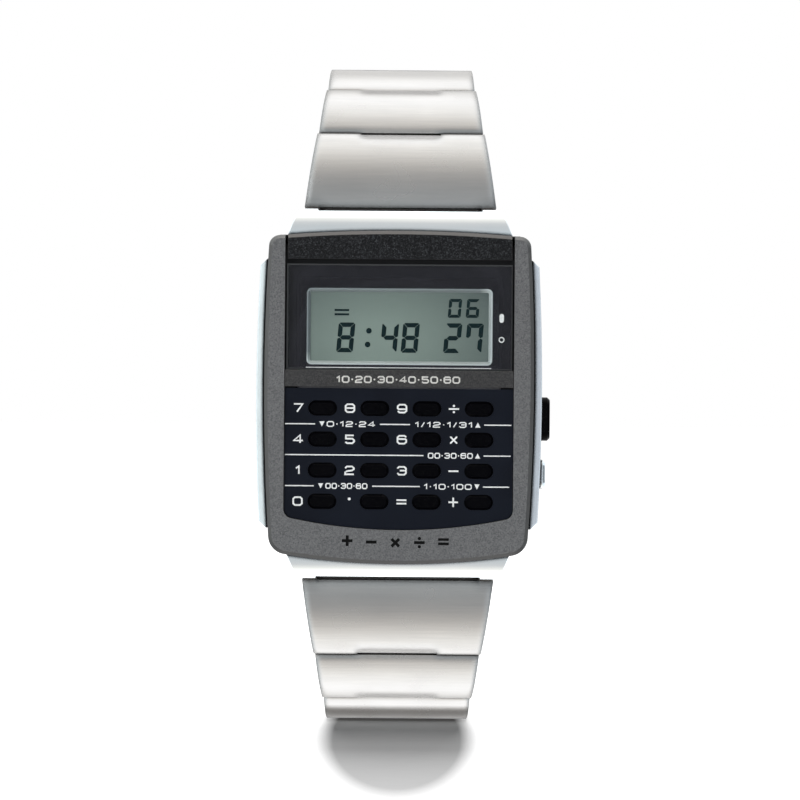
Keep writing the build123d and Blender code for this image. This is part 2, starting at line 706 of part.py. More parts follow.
def link_piece(number, up):
    """One link: a plate with rolled ends, a tongue at its near pivot and a slotted nose at the far one."""
    length = link_length if number else end_link_length
    tongue = tongue_half if number else end_tongue_half
    bore = pin_radius if number else spring_bar_radius
    start = link_front + seam_gap if number else lug_radius + 2 * seam_gap
    near_half, far_half = seam_halves[number], seam_halves[number + 1]
    section = link_plane(number, up)
    neck_end = start + link_shoulder
    slope = 0 if number == flat_link_number else radians(link_slope)
    nose_end = (length + link_front * sin(slope), link_front * cos(slope))
    with BuildPart() as link:
        # Plate whose outer face rolls down to the seam, and the round nose it ends in
        with BuildSketch(section):
            with BuildLine():
                Polyline(
                    nose_end, (length, -link_rear), (0, -link_rear), (0, link_front - shoulder_drop),
                    (start / 2, link_front - shoulder_drop),
                )
                TangentArc(
                    (start + link_shoulder, link_front), (start / 2, link_front - shoulder_drop),
                    tangent=(-cos(slope), -sin(slope)),
                )
                if number == flat_link_number:
                    Line((start + link_shoulder, link_front), nose_end)
                else:
                    TangentArc(
                        nose_end, (start + link_shoulder, link_front), tangent=(-cos(slope), sin(slope))
                    )
            make_face()
            with Locations((length, 0)):
                Circle(link_front)
            Circle(start, mode=Mode.SUBTRACT)
        extrude(amount=near_half, both=True)
        # Slot under the lip for the next tongue
        with BuildSketch(section):
            with Locations((length, 0)):
                Circle(lip_radius)
            with BuildLine():
                lip = radians(lip_angle)
                reach = link_front + overrun
                Polyline(
                    (length, 0), (length + reach * cos(lip), reach * sin(lip)),
                    (length + reach, reach * sin(lip)), (length + reach, -reach),
                    (length - link_rear, -reach), close=True,
                )
            make_face()
        extrude(amount=tongue_half + tongue_gap, both=True, mode=Mode.SUBTRACT)
        # Sides taper from seam to seam
        with BuildSketch(face_of_link(number, up)):
            with BuildLine():
                Polyline(
                    (0, -near_half), (length + link_front, -far_half),
                    (length + link_front, far_half), (0, near_half), close=True,
                )
            make_face()
        extrude(amount=2 * link_front, both=True, mode=Mode.INTERSECT)
        # The end link is a folded shell, open at its back
        if number == 0:
            hollow_start = start + link_shoulder
            hollow_end = length - link_front - end_link_wall
            with BuildSketch(section):
                with Locations(((hollow_start + hollow_end) / 2, -end_link_skin)):
                    Rectangle(hollow_end - hollow_start, 2 * link_front)
            extrude(amount=far_half - end_link_wall, both=True, mode=Mode.SUBTRACT)
        # Tongue with its bore, and the bore of the nose
        with BuildSketch(section):
            Circle(knuckle_radius)
            with BuildLine():
                Polyline(
                    (0, -knuckle_radius), (neck_end, -link_rear), (neck_end, neck_top), (0, neck_top),
                    close=True,
                )
            make_face()
            Circle(bore + running_gap, mode=Mode.SUBTRACT)
        extrude(amount=tongue, both=True)
        with BuildSketch(section):
            with Locations((length, 0)):
                Circle(pin_radius + slip_gap / 2)
        extrude(amount=far_half + overrun, both=True, mode=Mode.SUBTRACT)
        # Pin, pressed in the nose
        with BuildSketch(section):
            with Locations((length, 0)):
                Circle(pin_radius)
        extrude(amount=far_half - pin_inset, both=True)
    return link


for half_name, up in (("upper", 1), ("lower", -1)):
    for number in range(len(link_angles)):
        link = link_piece(number, up)
        save(link, f"{half_name}_link_{number + 1}")

# Clasp: three leaves folded on each other. The base hangs from the upper half's last pivot.
base_y = last_pivot_y
blade_y = base_y + leaf_thickness + leaf_gap / 2
cover_y = blade_y + leaf_thickness / 2 + leaf_gap
base_pivot_y = (base_y + blade_y) / 2
cover_pivot_y = cover_y - leaf_gap / 2
cover_half = seam_halves[-1] + cover_wall_gap + cover_wall


def leaf(y, low_z, high_z, half):
    """Flat leaf in the open part, between two heights."""
    with BuildSketch(front_plane(y)) as outline:
        band_of_face(half, low_z, high_z)
    extrude(outline.sketch, amount=leaf_thickness / 2, both=True)


def knuckle(y, z, spans, radius, bore, leaf_y, up):
    """Knuckles round a pivot over the x spans, joined to the leaf that runs up or down from them."""
    for start_x, end_x in spans:
        with BuildSketch(side_plane(start_x)) as section:
            with Locations((y, z)):
                Circle(radius)
            with Locations(((y + leaf_y) / 2, z + up * radius / 2)):
                Rectangle(abs(leaf_y - y), radius)
        extrude(section.sketch, amount=end_x - start_x)
    with BuildSketch(side_plane(-cover_half)) as hole:
        with Locations((y, z)):
            Circle(bore)
    extrude(hole.sketch, amount=2 * cover_half, mode=Mode.SUBTRACT)


outer_spans = [(-leaf_half, -leaf_knuckle_half - tongue_gap), (leaf_knuckle_half + tongue_gap, leaf_half)]
inner_spans = [(-leaf_knuckle_half, leaf_knuckle_half)]

with BuildPart() as clasp_base:
    leaf(base_y, -leaf_low_pivot_z, last_pivot_z - link_front - seam_gap, leaf_half)
    with BuildSketch(side_plane(-tongue_half)):
        with Locations((last_pivot_y, last_pivot_z)):
            Circle(knuckle_radius)
        with Locations((base_y, last_pivot_z - link_front)):
            Rectangle(leaf_thickness, 2 * link_front)
    extrude(amount=2 * tongue_half)
    with BuildSketch(side_plane(-tongue_half)):
        with Locations((last_pivot_y, last_pivot_z)):
            Circle(pin_radius + running_gap)
    extrude(amount=2 * tongue_half, mode=Mode.SUBTRACT)
    # Room for the blade's middle knuckle, then the two knuckles beside it
    with BuildSketch(side_plane(0)):
        with Locations((base_pivot_y, -leaf_low_pivot_z)):
            Circle(leaf_knuckle_radius + tongue_gap)
    extrude(amount=leaf_knuckle_half + tongue_gap, both=True, mode=Mode.SUBTRACT)
    knuckle(base_pivot_y, -leaf_low_pivot_z, outer_spans, leaf_knuckle_radius,
            clasp_pin_radius + slip_gap / 2, base_y, 1)
    with BuildSketch(side_plane(-leaf_half)):
        with Locations((base_pivot_y, -leaf_low_pivot_z)):
            Circle(clasp_pin_radius)
    extrude(amount=2 * leaf_half)
save(clasp_base, "clasp_base")

with BuildPart() as clasp_blade:
    leaf(blade_y, -leaf_low_pivot_z, leaf_top_pivot_z, leaf_half)
    for spans, pivot_y, pivot_z in (
        (outer_spans, base_pivot_y, -leaf_low_pivot_z),
        (inner_spans, cover_pivot_y, leaf_top_pivot_z),
    ):
        for start_x, end_x in spans:
            with BuildSketch(side_plane(start_x - tongue_gap)):
                with Locations((pivot_y, pivot_z)):
                    Circle(leaf_knuckle_radius + tongue_gap)
            extrude(amount=end_x - start_x + 2 * tongue_gap, mode=Mode.SUBTRACT)
    knuckle(base_pivot_y, -leaf_low_pivot_z, inner_spans, leaf_knuckle_radius,
            clasp_pin_radius + running_gap, blade_y, 1)
    knuckle(cover_pivot_y, leaf_top_pivot_z, outer_spans, leaf_knuckle_radius,
            clasp_pin_radius + slip_gap / 2, blade_y, -1)
    with BuildSketch(side_plane(-leaf_half)):
        with Locations((cover_pivot_y, leaf_top_pivot_z)):
            Circle(clasp_pin_radius)
    extrude(amount=2 * leaf_half)
save(clasp_blade, "clasp_blade")

ear_y, ear_z = last_pivot_y, -last_pivot_z
with BuildPart() as clasp_cover:
    with BuildSketch(front_plane(cover_y + cover_thickness)):
        band_of_face(cover_half, -cover_low_end_z, cover_end_z)
        fillet(vertices(), cover_corner)
    extrude(amount=cover_thickness)
    # Room for the blade's knuckles, then the cover's own knuckle between them
    for start_x, end_x in outer_spans:
        with BuildSketch(side_plane(start_x - tongue_gap)):
            with Locations((cover_pivot_y, leaf_top_pivot_z)):
                Circle(leaf_knuckle_radius + tongue_gap)
        extrude(amount=end_x - start_x + 2 * tongue_gap, mode=Mode.SUBTRACT)
    knuckle(cover_pivot_y, leaf_top_pivot_z, inner_spans, leaf_knuckle_radius,
            clasp_pin_radius + running_gap, cover_y + cover_thickness / 2, -1)
    # Side walls that run down to the ears of the lower half's pivot
    for side in (1, -1):
        wall_plane = side_plane(side * cover_half)
        with BuildSketch(wall_plane):
            with BuildLine():
                Polyline(
                    (cover_y + cover_thickness / 2, cover_wall_end_z),
                    (base_y - leaf_thickness / 2, cover_wall_end_z - cover_wall_slope),
                    (ear_y - cover_ear_radius, ear_z), (ear_y + cover_ear_radius, ear_z),
                    (cover_y + cover_thickness / 2, -cover_low_end_z + cover_corner), close=True,
                )
            make_face()
            with Locations((ear_y, ear_z)):
                Circle(cover_ear_radius)
                Circle(cover_ear_bore, mode=Mode.SUBTRACT)
        extrude(amount=-side * cover_wall)
    with BuildSketch(side_plane(-cover_half)):
        for hole in range(setting_holes):
            with Locations((blade_y, setting_hole_low_z + hole * setting_hole_pitch)):
                Circle(setting_hole_radius)
    extrude(amount=2 * cover_half, mode=Mode.SUBTRACT)
save(clasp_cover, "clasp_cover")
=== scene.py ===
from math import cos, pi, radians, sin, tan

import bmesh
import bpy
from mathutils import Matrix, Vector


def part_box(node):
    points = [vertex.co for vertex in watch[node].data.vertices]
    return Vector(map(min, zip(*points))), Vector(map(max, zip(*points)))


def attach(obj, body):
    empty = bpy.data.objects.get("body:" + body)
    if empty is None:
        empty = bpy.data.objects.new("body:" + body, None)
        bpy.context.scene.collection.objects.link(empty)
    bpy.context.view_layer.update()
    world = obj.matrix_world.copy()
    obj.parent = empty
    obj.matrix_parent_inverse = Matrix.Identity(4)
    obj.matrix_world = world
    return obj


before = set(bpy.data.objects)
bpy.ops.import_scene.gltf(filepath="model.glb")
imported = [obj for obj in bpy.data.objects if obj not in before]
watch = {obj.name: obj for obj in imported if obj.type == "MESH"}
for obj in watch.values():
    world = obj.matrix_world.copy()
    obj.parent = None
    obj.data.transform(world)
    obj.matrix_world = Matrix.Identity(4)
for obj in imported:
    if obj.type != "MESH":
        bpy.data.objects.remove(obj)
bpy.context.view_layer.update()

# Calculator watch standing on its closed bracelet. The dial faces -Y, 12 o'clock is +Z.
MM = 0.001
scene = bpy.context.scene


def corner(name, high, axis):
    """One coordinate of a node's box, in millimetres: axis 0 is x, 1 is y and 2 is z."""
    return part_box(name)[high][axis] / MM


PLATE_FRONT = corner("keypad_plate", 0, 1)
GLASS_FRONT = corner("lcd_glass", 0, 1)
PRINT_FRONT = corner("lcd_surround", 0, 1)
BAR_FRONT = corner("window_bar", 0, 1)
BEZEL_FRONT, BEZEL_REAR = corner("bezel", 0, 1), corner("bezel", 1, 1)
FLOOR = corner("lower_link_4", 0, 2)
INK = 0.02                  # thickness of a printed film, mm


# Colour and nodes

def hex_colour(text):
    """An sRGB hex value as the linear colour that shaders take."""
    parts = [int(text[i:i + 2], 16) / 255 for i in (1, 3, 5)]
    return [p / 12.92 if p <= 0.04045 else ((p + 0.055) / 1.055) ** 2.4 for p in parts] + [1.0]


def node(tree, kind, inputs=None, **settings):
    """Adds a node, sets it up, and gives each named or numbered input a value or a link.
    Mix takes the share at 0 and its two colours at 6 and 7. Map Range takes the value at 0, the range
    that it comes from at 1 and 2, and the one that it goes to, if not 0 to 1, at 3 and 4."""
    made = tree.nodes.new(kind)
    for name, value in settings.items():
        setattr(made, name, value)
    for name, value in (inputs or {}).items():
        if isinstance(value, bpy.types.NodeSocket):
            tree.links.new(value, made.inputs[name])
        else:
            made.inputs[name].default_value = value
    return made


def per_mm(size):
    """Texture scale that makes one feature this many millimetres wide."""
    return 1 / (size * MM)


def blank_material(name):
    """A material with an empty tree, and the surface point in metres."""
    material = bpy.data.materials.new(name)
    material.use_nodes = True
    material.node_tree.nodes.clear()
    return material, material.node_tree, node(material.node_tree, "ShaderNodeTexCoord").outputs["Object"]


def inside_box(tree, place, low, high):
    """1 where the surface point lies between two corners given in millimetres, otherwise 0."""
    at = node(tree, "ShaderNodeSeparateXYZ", {0: place})
    share = 1.0
    for axis in range(3):
        middle, half = (low[axis] + high[axis]) / 2 * MM, (high[axis] - low[axis]) / 2 * MM
        hit = node(tree, "ShaderNodeMath", {0: at.outputs[axis], 1: middle, 2: half}, operation="COMPARE")
        share = node(tree, "ShaderNodeMath", {0: hit.outputs[0], 1: share}, operation="MULTIPLY").outputs[0]
    return share


# Materials. Each starts from what the real piece is made of and how its surface was made.

def chromed_resin(name):
    """Vacuum-chromed ABS: cool and mirror-like, softened by the faint ripple of the moulding under it.
    The case is painted black under the bezel and in the seams beside the flanges, as painted shade in
    those gaps, and its chrome is painted dark where the bezel and other parts stand close, as painted shade."""
    material, tree, place = blank_material(name)
    ripple = node(tree, "ShaderNodeTexNoise", {"Vector": place, "Scale": per_mm(1.4), "Detail": 2.0})
    haze = node(tree, "ShaderNodeTexNoise", {"Vector": place, "Scale": per_mm(4.0), "Detail": 4.0})
    edge = node(tree, "ShaderNodeBevel", {"Radius": 0.2 * MM}, samples=8)
    bump = node(
        tree, "ShaderNodeBump",
        {"Height": ripple.outputs[0], "Strength": 0.25, "Distance": 0.004 * MM, "Normal": edge.outputs[0]},
    )
    # Under the bezel: the bed that it lies on, between the tapering flanks, and the seam beside the
    # flanges, all in mm. A flank lies where |x| is its start less its taper for each mm of |z|.
    bed_wide, bed_high, bed_rear = 14.6, 18.4, -2.0
    seam_wide, seam_high, seam_front, seam_rear = 15.9, 15.2, -6.93, -6.0
    flank_start, flank_taper = 20.4, 0.406
    at = node(tree, "ShaderNodeSeparateXYZ", {0: place})
    out, up = (node(tree, "ShaderNodeMath", {0: at.outputs[axis]}, operation="ABSOLUTE").outputs[0]
               for axis in ("X", "Z"))
    flank = node(tree, "ShaderNodeMath", {0: up, 1: flank_taper, 2: out}, operation="MULTIPLY_ADD").outputs[0]
    between_flanks = node(
        tree, "ShaderNodeMath", {0: flank, 1: flank_start * MM}, operation="LESS_THAN"
    ).outputs[0]
    bed = inside_box(
        tree, place, (-bed_wide, BEZEL_FRONT, -bed_high), (bed_wide, bed_rear, bed_high)
    )
    bed = node(tree, "ShaderNodeMath", {0: bed, 1: between_flanks}, operation="MULTIPLY").outputs[0]
    seam = inside_box(
        tree, place, (-seam_wide, seam_front, -seam_high), (seam_wide, seam_rear, seam_high)
    )
    # Painted shade: black, unplated case (#08080a) under the bezel and in the seams beside the flanges
    seam_shade_mask = node(tree, "ShaderNodeMath", {0: bed, 1: seam}, operation="MAXIMUM").outputs[0]
    plated = node(tree, "ShaderNodeMix", {
        0: haze.outputs[0], 6: hex_colour("#e6edf1"), 7: hex_colour("#f1f6f9"),
    }, data_type="RGBA").outputs[2]
    # Painted shade: the chrome darkens to #1c1d20 where other parts stand close, which draws a dark line
    # along the bezel
    reach = node(tree, "ShaderNodeAmbientOcclusion", {"Distance": 0.6 * MM}, samples=8).outputs["AO"]
    plated = node(tree, "ShaderNodeMix", {
        0: node(tree, "ShaderNodeMapRange", {0: reach, 1: 0.72, 2: 0.93}).outputs[0],
        6: hex_colour("#1c1d20"), 7: plated,
    }, data_type="RGBA").outputs[2]
    shader = node(tree, "ShaderNodeBsdfPrincipled", {
        "Base Color": node(tree, "ShaderNodeMix", {
            0: seam_shade_mask, 6: plated, 7: hex_colour("#08080a"),
        }, data_type="RGBA").outputs[2],
        "Metallic": node(tree, "ShaderNodeMapRange", {
            0: seam_shade_mask, 1: 0.0, 2: 1.0, 3: 1.0, 4: 0.0,
        }).outputs[0],
        "Roughness": node(tree, "ShaderNodeMath", {
            0: node(tree, "ShaderNodeMapRange", {
                0: haze.outputs[0], 1: 0.3, 2: 0.7, 3: 0.05, 4: 0.09,
            }).outputs[0],
            1: node(tree, "ShaderNodeMapRange", {0: seam_shade_mask, 1: 0.0, 2: 1.0, 3: 0.0, 4: 0.6}).outputs[0],
        }, operation="MAXIMUM").outputs[0],
        "Normal": bump.outputs[0],
    })
    node(tree, "ShaderNodeOutputMaterial", {"Surface": shader.outputs[0]})
    return material


def flaked_lacquer(name, dark, light, rim, flake, roughness, metallic, rarity):
    """Sprayed metallic lacquer: every flake of powder lies at its own tilt, so the tone sparkles finely.
    The flakes are drawn coarser than real ones, which are too fine to show. A higher rarity leaves fewer
    of them bright. The bevels carry painted light and shade: those that face up take the pale rim tone as a
    painted highlight, and those that face down are painted dark as painted shade, which outlines the piece."""
    material, tree, place = blank_material(name)
    flakes = node(tree, "ShaderNodeTexVoronoi", {"Vector": place, "Scale": per_mm(flake)})
    cloud = node(tree, "ShaderNodeTexNoise", {"Vector": place, "Scale": per_mm(6.0), "Detail": 3.0})
    glint = node(
        tree, "ShaderNodeMath", {0: flakes.outputs["Color"], 1: rarity}, operation="POWER"
    ).outputs[0]
    tone = node(tree, "ShaderNodeMix", {
        0: glint, 6: hex_colour(dark), 7: hex_colour(light),
    }, data_type="RGBA").outputs[2]
    tone = node(tree, "ShaderNodeMix", {
        0: node(tree, "ShaderNodeMapRange", {
            0: cloud.outputs[0], 1: 0.3, 2: 0.7, 3: 0.0, 4: 0.15,
        }).outputs[0],
        6: tone, 7: hex_colour(dark),
    }, data_type="RGBA").outputs[2]
    edge = node(tree, "ShaderNodeBevel", {"Radius": 0.12 * MM}, samples=4)
    facing = node(tree, "ShaderNodeSeparateXYZ", {0: edge.outputs[0]})
    # Painted light and shade on the bevels: the rim tone where they face up, dark #3b3b3b where they face
    # down
    painted_bevel_light_and_shade = node(tree, "ShaderNodeMix", {
        0: node(tree, "ShaderNodeMapRange", {0: facing.outputs["Z"], 1: -0.5, 2: 0.2}).outputs[0],
        6: hex_colour("#3b3b3b"), 7: hex_colour(rim),
    }, data_type="RGBA").outputs[2]
    # Bevels that turn away from the front take this painted light and shade
    tone = node(tree, "ShaderNodeMix", {
        0: node(tree, "ShaderNodeMapRange", {
            0: facing.outputs["Y"], 1: -0.95, 2: -0.75, 3: 0.0, 4: 0.85,
        }).outputs[0],
        6: tone, 7: painted_bevel_light_and_shade,
    }, data_type="RGBA").outputs[2]
    bump = node(
        tree, "ShaderNodeBump",
        {"Height": flakes.outputs["Color"], "Strength": 0.3, "Distance": 0.005 * MM,
         "Normal": edge.outputs[0]},
    )
    shader = node(tree, "ShaderNodeBsdfPrincipled", {
        "Base Color": tone, "Metallic": metallic,
        "Roughness": node(tree, "ShaderNodeMapRange", {
            0: flakes.outputs["Color"], 1: 0.0, 2: 1.0, 3: roughness - 0.08, 4: roughness + 0.08,
        }).outputs[0],
        "IOR": 1.3, "Normal": bump.outputs[0],
    })
    node(tree, "ShaderNodeOutputMaterial", {"Surface": shader.outputs[0]})
    return material


def brushed_steel(name, dark, light, roughness, line=0.1, run=7.0, rolled=0.2):
    """Stainless steel drawn over an abrasive belt along X: fine broken lines, and highlights that spread
    across them. Real lines are about 0.03 mm apart, so they are drawn coarser to show. Tumbling rolls
    the edges over. The steel is painted darker in the seams and where anything stands close, as painted
    shade."""
    material, tree, place = blank_material(name)
    stretched = node(
        tree, "ShaderNodeMapping", {"Vector": place, "Scale": (per_mm(run), per_mm(line), per_mm(line))}
    )
    lines = node(tree, "ShaderNodeTexNoise", {"Vector": stretched.outputs[0], "Scale": 1.0, "Detail": 4.0})
    wear = node(tree, "ShaderNodeTexNoise", {"Vector": place, "Scale": per_mm(5.0), "Detail": 3.0})
    edge = node(tree, "ShaderNodeBevel", {"Radius": rolled * MM}, samples=8)
    bump = node(
        tree, "ShaderNodeBump",
        {"Height": lines.outputs[0], "Strength": 0.3, "Distance": 0.003 * MM, "Normal": edge.outputs[0]},
    )
    along = node(tree, "ShaderNodeTangent", direction_type="RADIAL", axis="X")
    drawn = node(tree, "ShaderNodeMix", {
        0: node(tree, "ShaderNodeMapRange", {0: lines.outputs[0], 1: 0.2, 2: 0.8}).outputs[0],
        6: hex_colour(dark), 7: hex_colour(light),
    }, data_type="RGBA").outputs[2]
    # Painted shade: the steel darkens toward #3f3c3a where anything stands within 2 mm
    reach = node(tree, "ShaderNodeAmbientOcclusion", {"Distance": 2.0 * MM}, samples=6).outputs["AO"]
    shader = node(tree, "ShaderNodeBsdfPrincipled", {
        "Base Color": node(tree, "ShaderNodeMix", {
            0: node(tree, "ShaderNodeMapRange", {0: reach, 1: 0.5, 2: 0.97}).outputs[0],
            6: hex_colour("#3f3c3a"), 7: drawn,
        }, data_type="RGBA").outputs[2],
        "Metallic": 1.0,
        "Roughness": node(tree, "ShaderNodeMapRange", {
            0: wear.outputs[0], 1: 0.3, 2: 0.7, 3: roughness - 0.03, 4: roughness + 0.05,
        }).outputs[0],
        "Anisotropic": 0.5, "Tangent": along.outputs[0], "Normal": bump.outputs[0],
    })
    node(tree, "ShaderNodeOutputMaterial", {"Surface": shader.outputs[0]})
    return material


def turned_metal(name, dark, light, roughness, centre, ring=0.16):
    """Metal faced on a lathe: fine rings round a centre, which draw a bright fan under a lamp. They are
    drawn 0.1 to 0.16 mm apart, coarser than real ones, so that they show."""
    material, tree, place = blank_material(name)
    moved = node(
        tree, "ShaderNodeMapping",
        {"Vector": place, "Location": (-centre[0] * MM, 0, -centre[1] * MM), "Scale": (1, 0, 1)},
    )
    radius = node(tree, "ShaderNodeVectorMath", {0: moved.outputs[0]}, operation="LENGTH")
    rings = node(
        tree, "ShaderNodeTexNoise", {"W": radius.outputs["Value"], "Scale": per_mm(ring), "Detail": 3.0},
        noise_dimensions="1D",
    )
    bump = node(tree, "ShaderNodeBump", {"Height": rings.outputs[0], "Strength": 0.3, "Distance": 0.004 * MM})
    shader = node(tree, "ShaderNodeBsdfPrincipled", {
        "Base Color": node(tree, "ShaderNodeMix", {
            0: node(tree, "ShaderNodeMapRange", {0: rings.outputs[0], 1: 0.3, 2: 0.7}).outputs[0],
            6: hex_colour(dark), 7: hex_colour(light),
        }, data_type="RGBA").outputs[2],
        "Metallic": 1.0,
        "Roughness": node(tree, "ShaderNodeMapRange", {
            0: rings.outputs[0], 1: 0.3, 2: 0.7, 3: roughness - 0.04, 4: roughness + 0.06,
        }).outputs[0],
        "Normal": bump.outputs[0],
    })
    node(tree, "ShaderNodeOutputMaterial", {"Surface": shader.outputs[0]})
    return material


def moulded_resin(name, dark, light, grain, roughness, index=1.45):
    """Injection-moulded plastic: an even tone with the faint grain of the spark-eroded mould."""
    material, tree, place = blank_material(name)
    flow = node(tree, "ShaderNodeTexNoise", {"Vector": place, "Scale": per_mm(7.0), "Detail": 2.0})
    pores = node(tree, "ShaderNodeTexNoise", {"Vector": place, "Scale": per_mm(grain), "Detail": 3.0})
    bump = node(
        tree, "ShaderNodeBump", {"Height": pores.outputs[0], "Strength": 0.4, "Distance": 0.004 * MM}
    )
    shader = node(tree, "ShaderNodeBsdfPrincipled", {
        "Base Color": node(tree, "ShaderNodeMix", {
            0: node(tree, "ShaderNodeMapRange", {0: flow.outputs[0], 1: 0.3, 2: 0.7}).outputs[0],
            6: hex_colour(dark), 7: hex_colour(light),
        }, data_type="RGBA").outputs[2],
        "Roughness": node(tree, "ShaderNodeMapRange", {
            0: pores.outputs[0], 1: 0.3, 2: 0.7, 3: roughness - 0.04, 4: roughness + 0.04,
        }).outputs[0],
        "IOR": index, "Normal": bump.outputs[0],
    })
    node(tree, "ShaderNodeOutputMaterial", {"Surface": shader.outputs[0]})
    return material


def satin_plating(name, dim, bright):
    """Thin rim of satin-plated metal, with painted light: it is coloured brighter along its foot and its
    3 o'clock side. Its blasted grain is drawn at 0.2 mm, coarser than a real one, so that it shows."""
    material, tree, place = blank_material(name)
    low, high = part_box("lcd_frame")
    at = node(tree, "ShaderNodeSeparateXYZ", {0: place})
    # Painted light: the bright tone near the foot and the 3 o'clock side, the dim one elsewhere
    down = node(tree, "ShaderNodeMapRange", {
        0: at.outputs["Z"], 1: low.z + 0.5 * MM, 2: low.z + 1.5 * MM, 3: 1.0, 4: 0.0,
    }).outputs[0]
    right = node(tree, "ShaderNodeMapRange", {
        0: at.outputs["X"], 1: high.x - 1.5 * MM, 2: high.x - 0.5 * MM,
    }).outputs[0]
    share = node(tree, "ShaderNodeMath", {0: down, 1: right}, operation="MAXIMUM").outputs[0]
    grain = node(tree, "ShaderNodeTexNoise", {"Vector": place, "Scale": per_mm(0.2), "Detail": 2.0})
    edge = node(tree, "ShaderNodeBevel", {"Radius": 0.06 * MM}, samples=4)
    shader = node(tree, "ShaderNodeBsdfPrincipled", {
        "Base Color": node(tree, "ShaderNodeMix", {
            0: share, 6: hex_colour(dim), 7: hex_colour(bright),
        }, data_type="RGBA").outputs[2],
        "Metallic": 0.8,
        "Roughness": node(tree, "ShaderNodeMapRange", {
            0: grain.outputs[0], 1: 0.3, 2: 0.7, 3: 0.34, 4: 0.44,
        }).outputs[0],
        "Normal": edge.outputs[0],
    })
    node(tree, "ShaderNodeOutputMaterial", {"Surface": shader.outputs[0]})
    return material


def window_glass(name):
    """Mineral glass, flat and clear, with ground edges: the faces only add a reflection, and the bevel
    and sides are frosted grey. Its faces let light straight through, as a thin plate does."""
    material, tree, place = blank_material(name)
    facing = node(tree, "ShaderNodeSeparateXYZ", {0: node(tree, "ShaderNodeTexCoord").outputs["Normal"]})
    flat = node(tree, "ShaderNodeMath", {0: facing.outputs["Y"]}, operation="ABSOLUTE")
    ground = node(tree, "ShaderNodeMath", {0: flat.outputs[0], 1: 0.95}, operation="LESS_THAN")
    inside = node(tree, "ShaderNodeNewGeometry").outputs["Backfacing"]
    shine = node(
        tree, "ShaderNodeMath",
        {0: node(tree, "ShaderNodeFresnel", {"IOR": 1.45}).outputs[0],
         1: node(tree, "ShaderNodeMath", {0: 1.0, 1: inside}, operation="SUBTRACT").outputs[0]},
        operation="MULTIPLY",
    )
    clear = node(tree, "ShaderNodeMixShader", {
        0: shine.outputs[0],
        1: node(tree, "ShaderNodeBsdfTransparent", {"Color": hex_colour("#fbfcfc")}).outputs[0],
        2: node(tree, "ShaderNodeBsdfGlossy", {"Roughness": 0.03}).outputs[0],
    })
    grit = node(tree, "ShaderNodeTexNoise", {"Vector": place, "Scale": per_mm(0.12), "Detail": 2.0})
    frosted = node(tree, "ShaderNodeBsdfPrincipled", {
        "Base Color": node(tree, "ShaderNodeMix", {
            0: grit.outputs[0], 6: hex_colour("#2b2d2f"), 7: hex_colour("#4a4c4e"),
        }, data_type="RGBA").outputs[2],
        "Roughness": 0.55, "IOR": 1.5,
    })
    shader = node(tree, "ShaderNodeMixShader", {
        0: ground.outputs[0], 1: clear.outputs[0], 2: frosted.outputs[0],
    })
    node(tree, "ShaderNodeOutputMaterial", {"Surface": shader.outputs[0]})
    return material


def display_film(name):
    """Liquid-crystal cell over a satin reflector: grey-green, with painted shade that darkens it to its top
    and its 3 o'clock side, where the frame's shadow falls, and with a fine fibre in the polariser."""
    material, tree, place = blank_material(name)
    half_wide, half_high = 0.0104, 0.0065      # half axes of the pale oval, m
    left, up = 0.24, 0.92                      # how far its middle is off the origin, as shares of them
    spread = node(tree, "ShaderNodeMapping", {
        "Vector": place, "Location": (left, 0.0, -up), "Scale": (1 / half_wide, 0.0, 1 / half_high),
    })
    off_centre = node(tree, "ShaderNodeVectorMath", {0: spread.outputs[0]}, operation="LENGTH")
    fibre = node(
        tree, "ShaderNodeTexNoise",
        {"Vector": node(
            tree, "ShaderNodeMapping", {"Vector": place, "Scale": (per_mm(1.5), 1, per_mm(0.15))}
        ).outputs[0], "Scale": 1.0, "Detail": 3.0},
    )
    # Painted shade: the tone darkens away from the pale oval, as the frame's shadow
    tone = node(tree, "ShaderNodeMix", {
        0: node(tree, "ShaderNodeMapRange", {0: off_centre.outputs["Value"], 1: 0.35, 2: 1.5}).outputs[0],
        6: hex_colour("#82918a"), 7: hex_colour("#4e5957"),
    }, data_type="RGBA").outputs[2]
    tone = node(tree, "ShaderNodeMix", {
        0: node(tree, "ShaderNodeMapRange", {
            0: fibre.outputs[0], 1: 0.3, 2: 0.7, 3: 0.0, 4: 0.1,
        }).outputs[0],
        6: tone, 7: hex_colour("#88938d"),
    }, data_type="RGBA").outputs[2]
    shader = node(tree, "ShaderNodeBsdfPrincipled", {
        "Base Color": tone, "Roughness": 0.42, "IOR": 1.5,
    })
    node(tree, "ShaderNodeOutputMaterial", {"Surface": shader.outputs[0]})
    return material


def printed_ink(name, colour, thin, roughness, index=1.45):
    """Pad-printed ink: solid, slightly thinner here and there where the pad lifted. Ink under glass takes
    an index near 1, because it lies against the pane with no air between."""
    material, tree, place = blank_material(name)
    cover = node(tree, "ShaderNodeTexNoise", {"Vector": place, "Scale": per_mm(0.35), "Detail": 3.0})
    shader = node(tree, "ShaderNodeBsdfPrincipled", {
        "Base Color": node(tree, "ShaderNodeMix", {
            0: node(tree, "ShaderNodeMapRange", {0: cover.outputs[0], 1: 0.45, 2: 0.8}).outputs[0],
            6: hex_colour(colour), 7: hex_colour(thin),
        }, data_type="RGBA").outputs[2],
        "Roughness": roughness, "IOR": index,
    })
    node(tree, "ShaderNodeOutputMaterial", {"Surface": shader.outputs[0]})
    return material


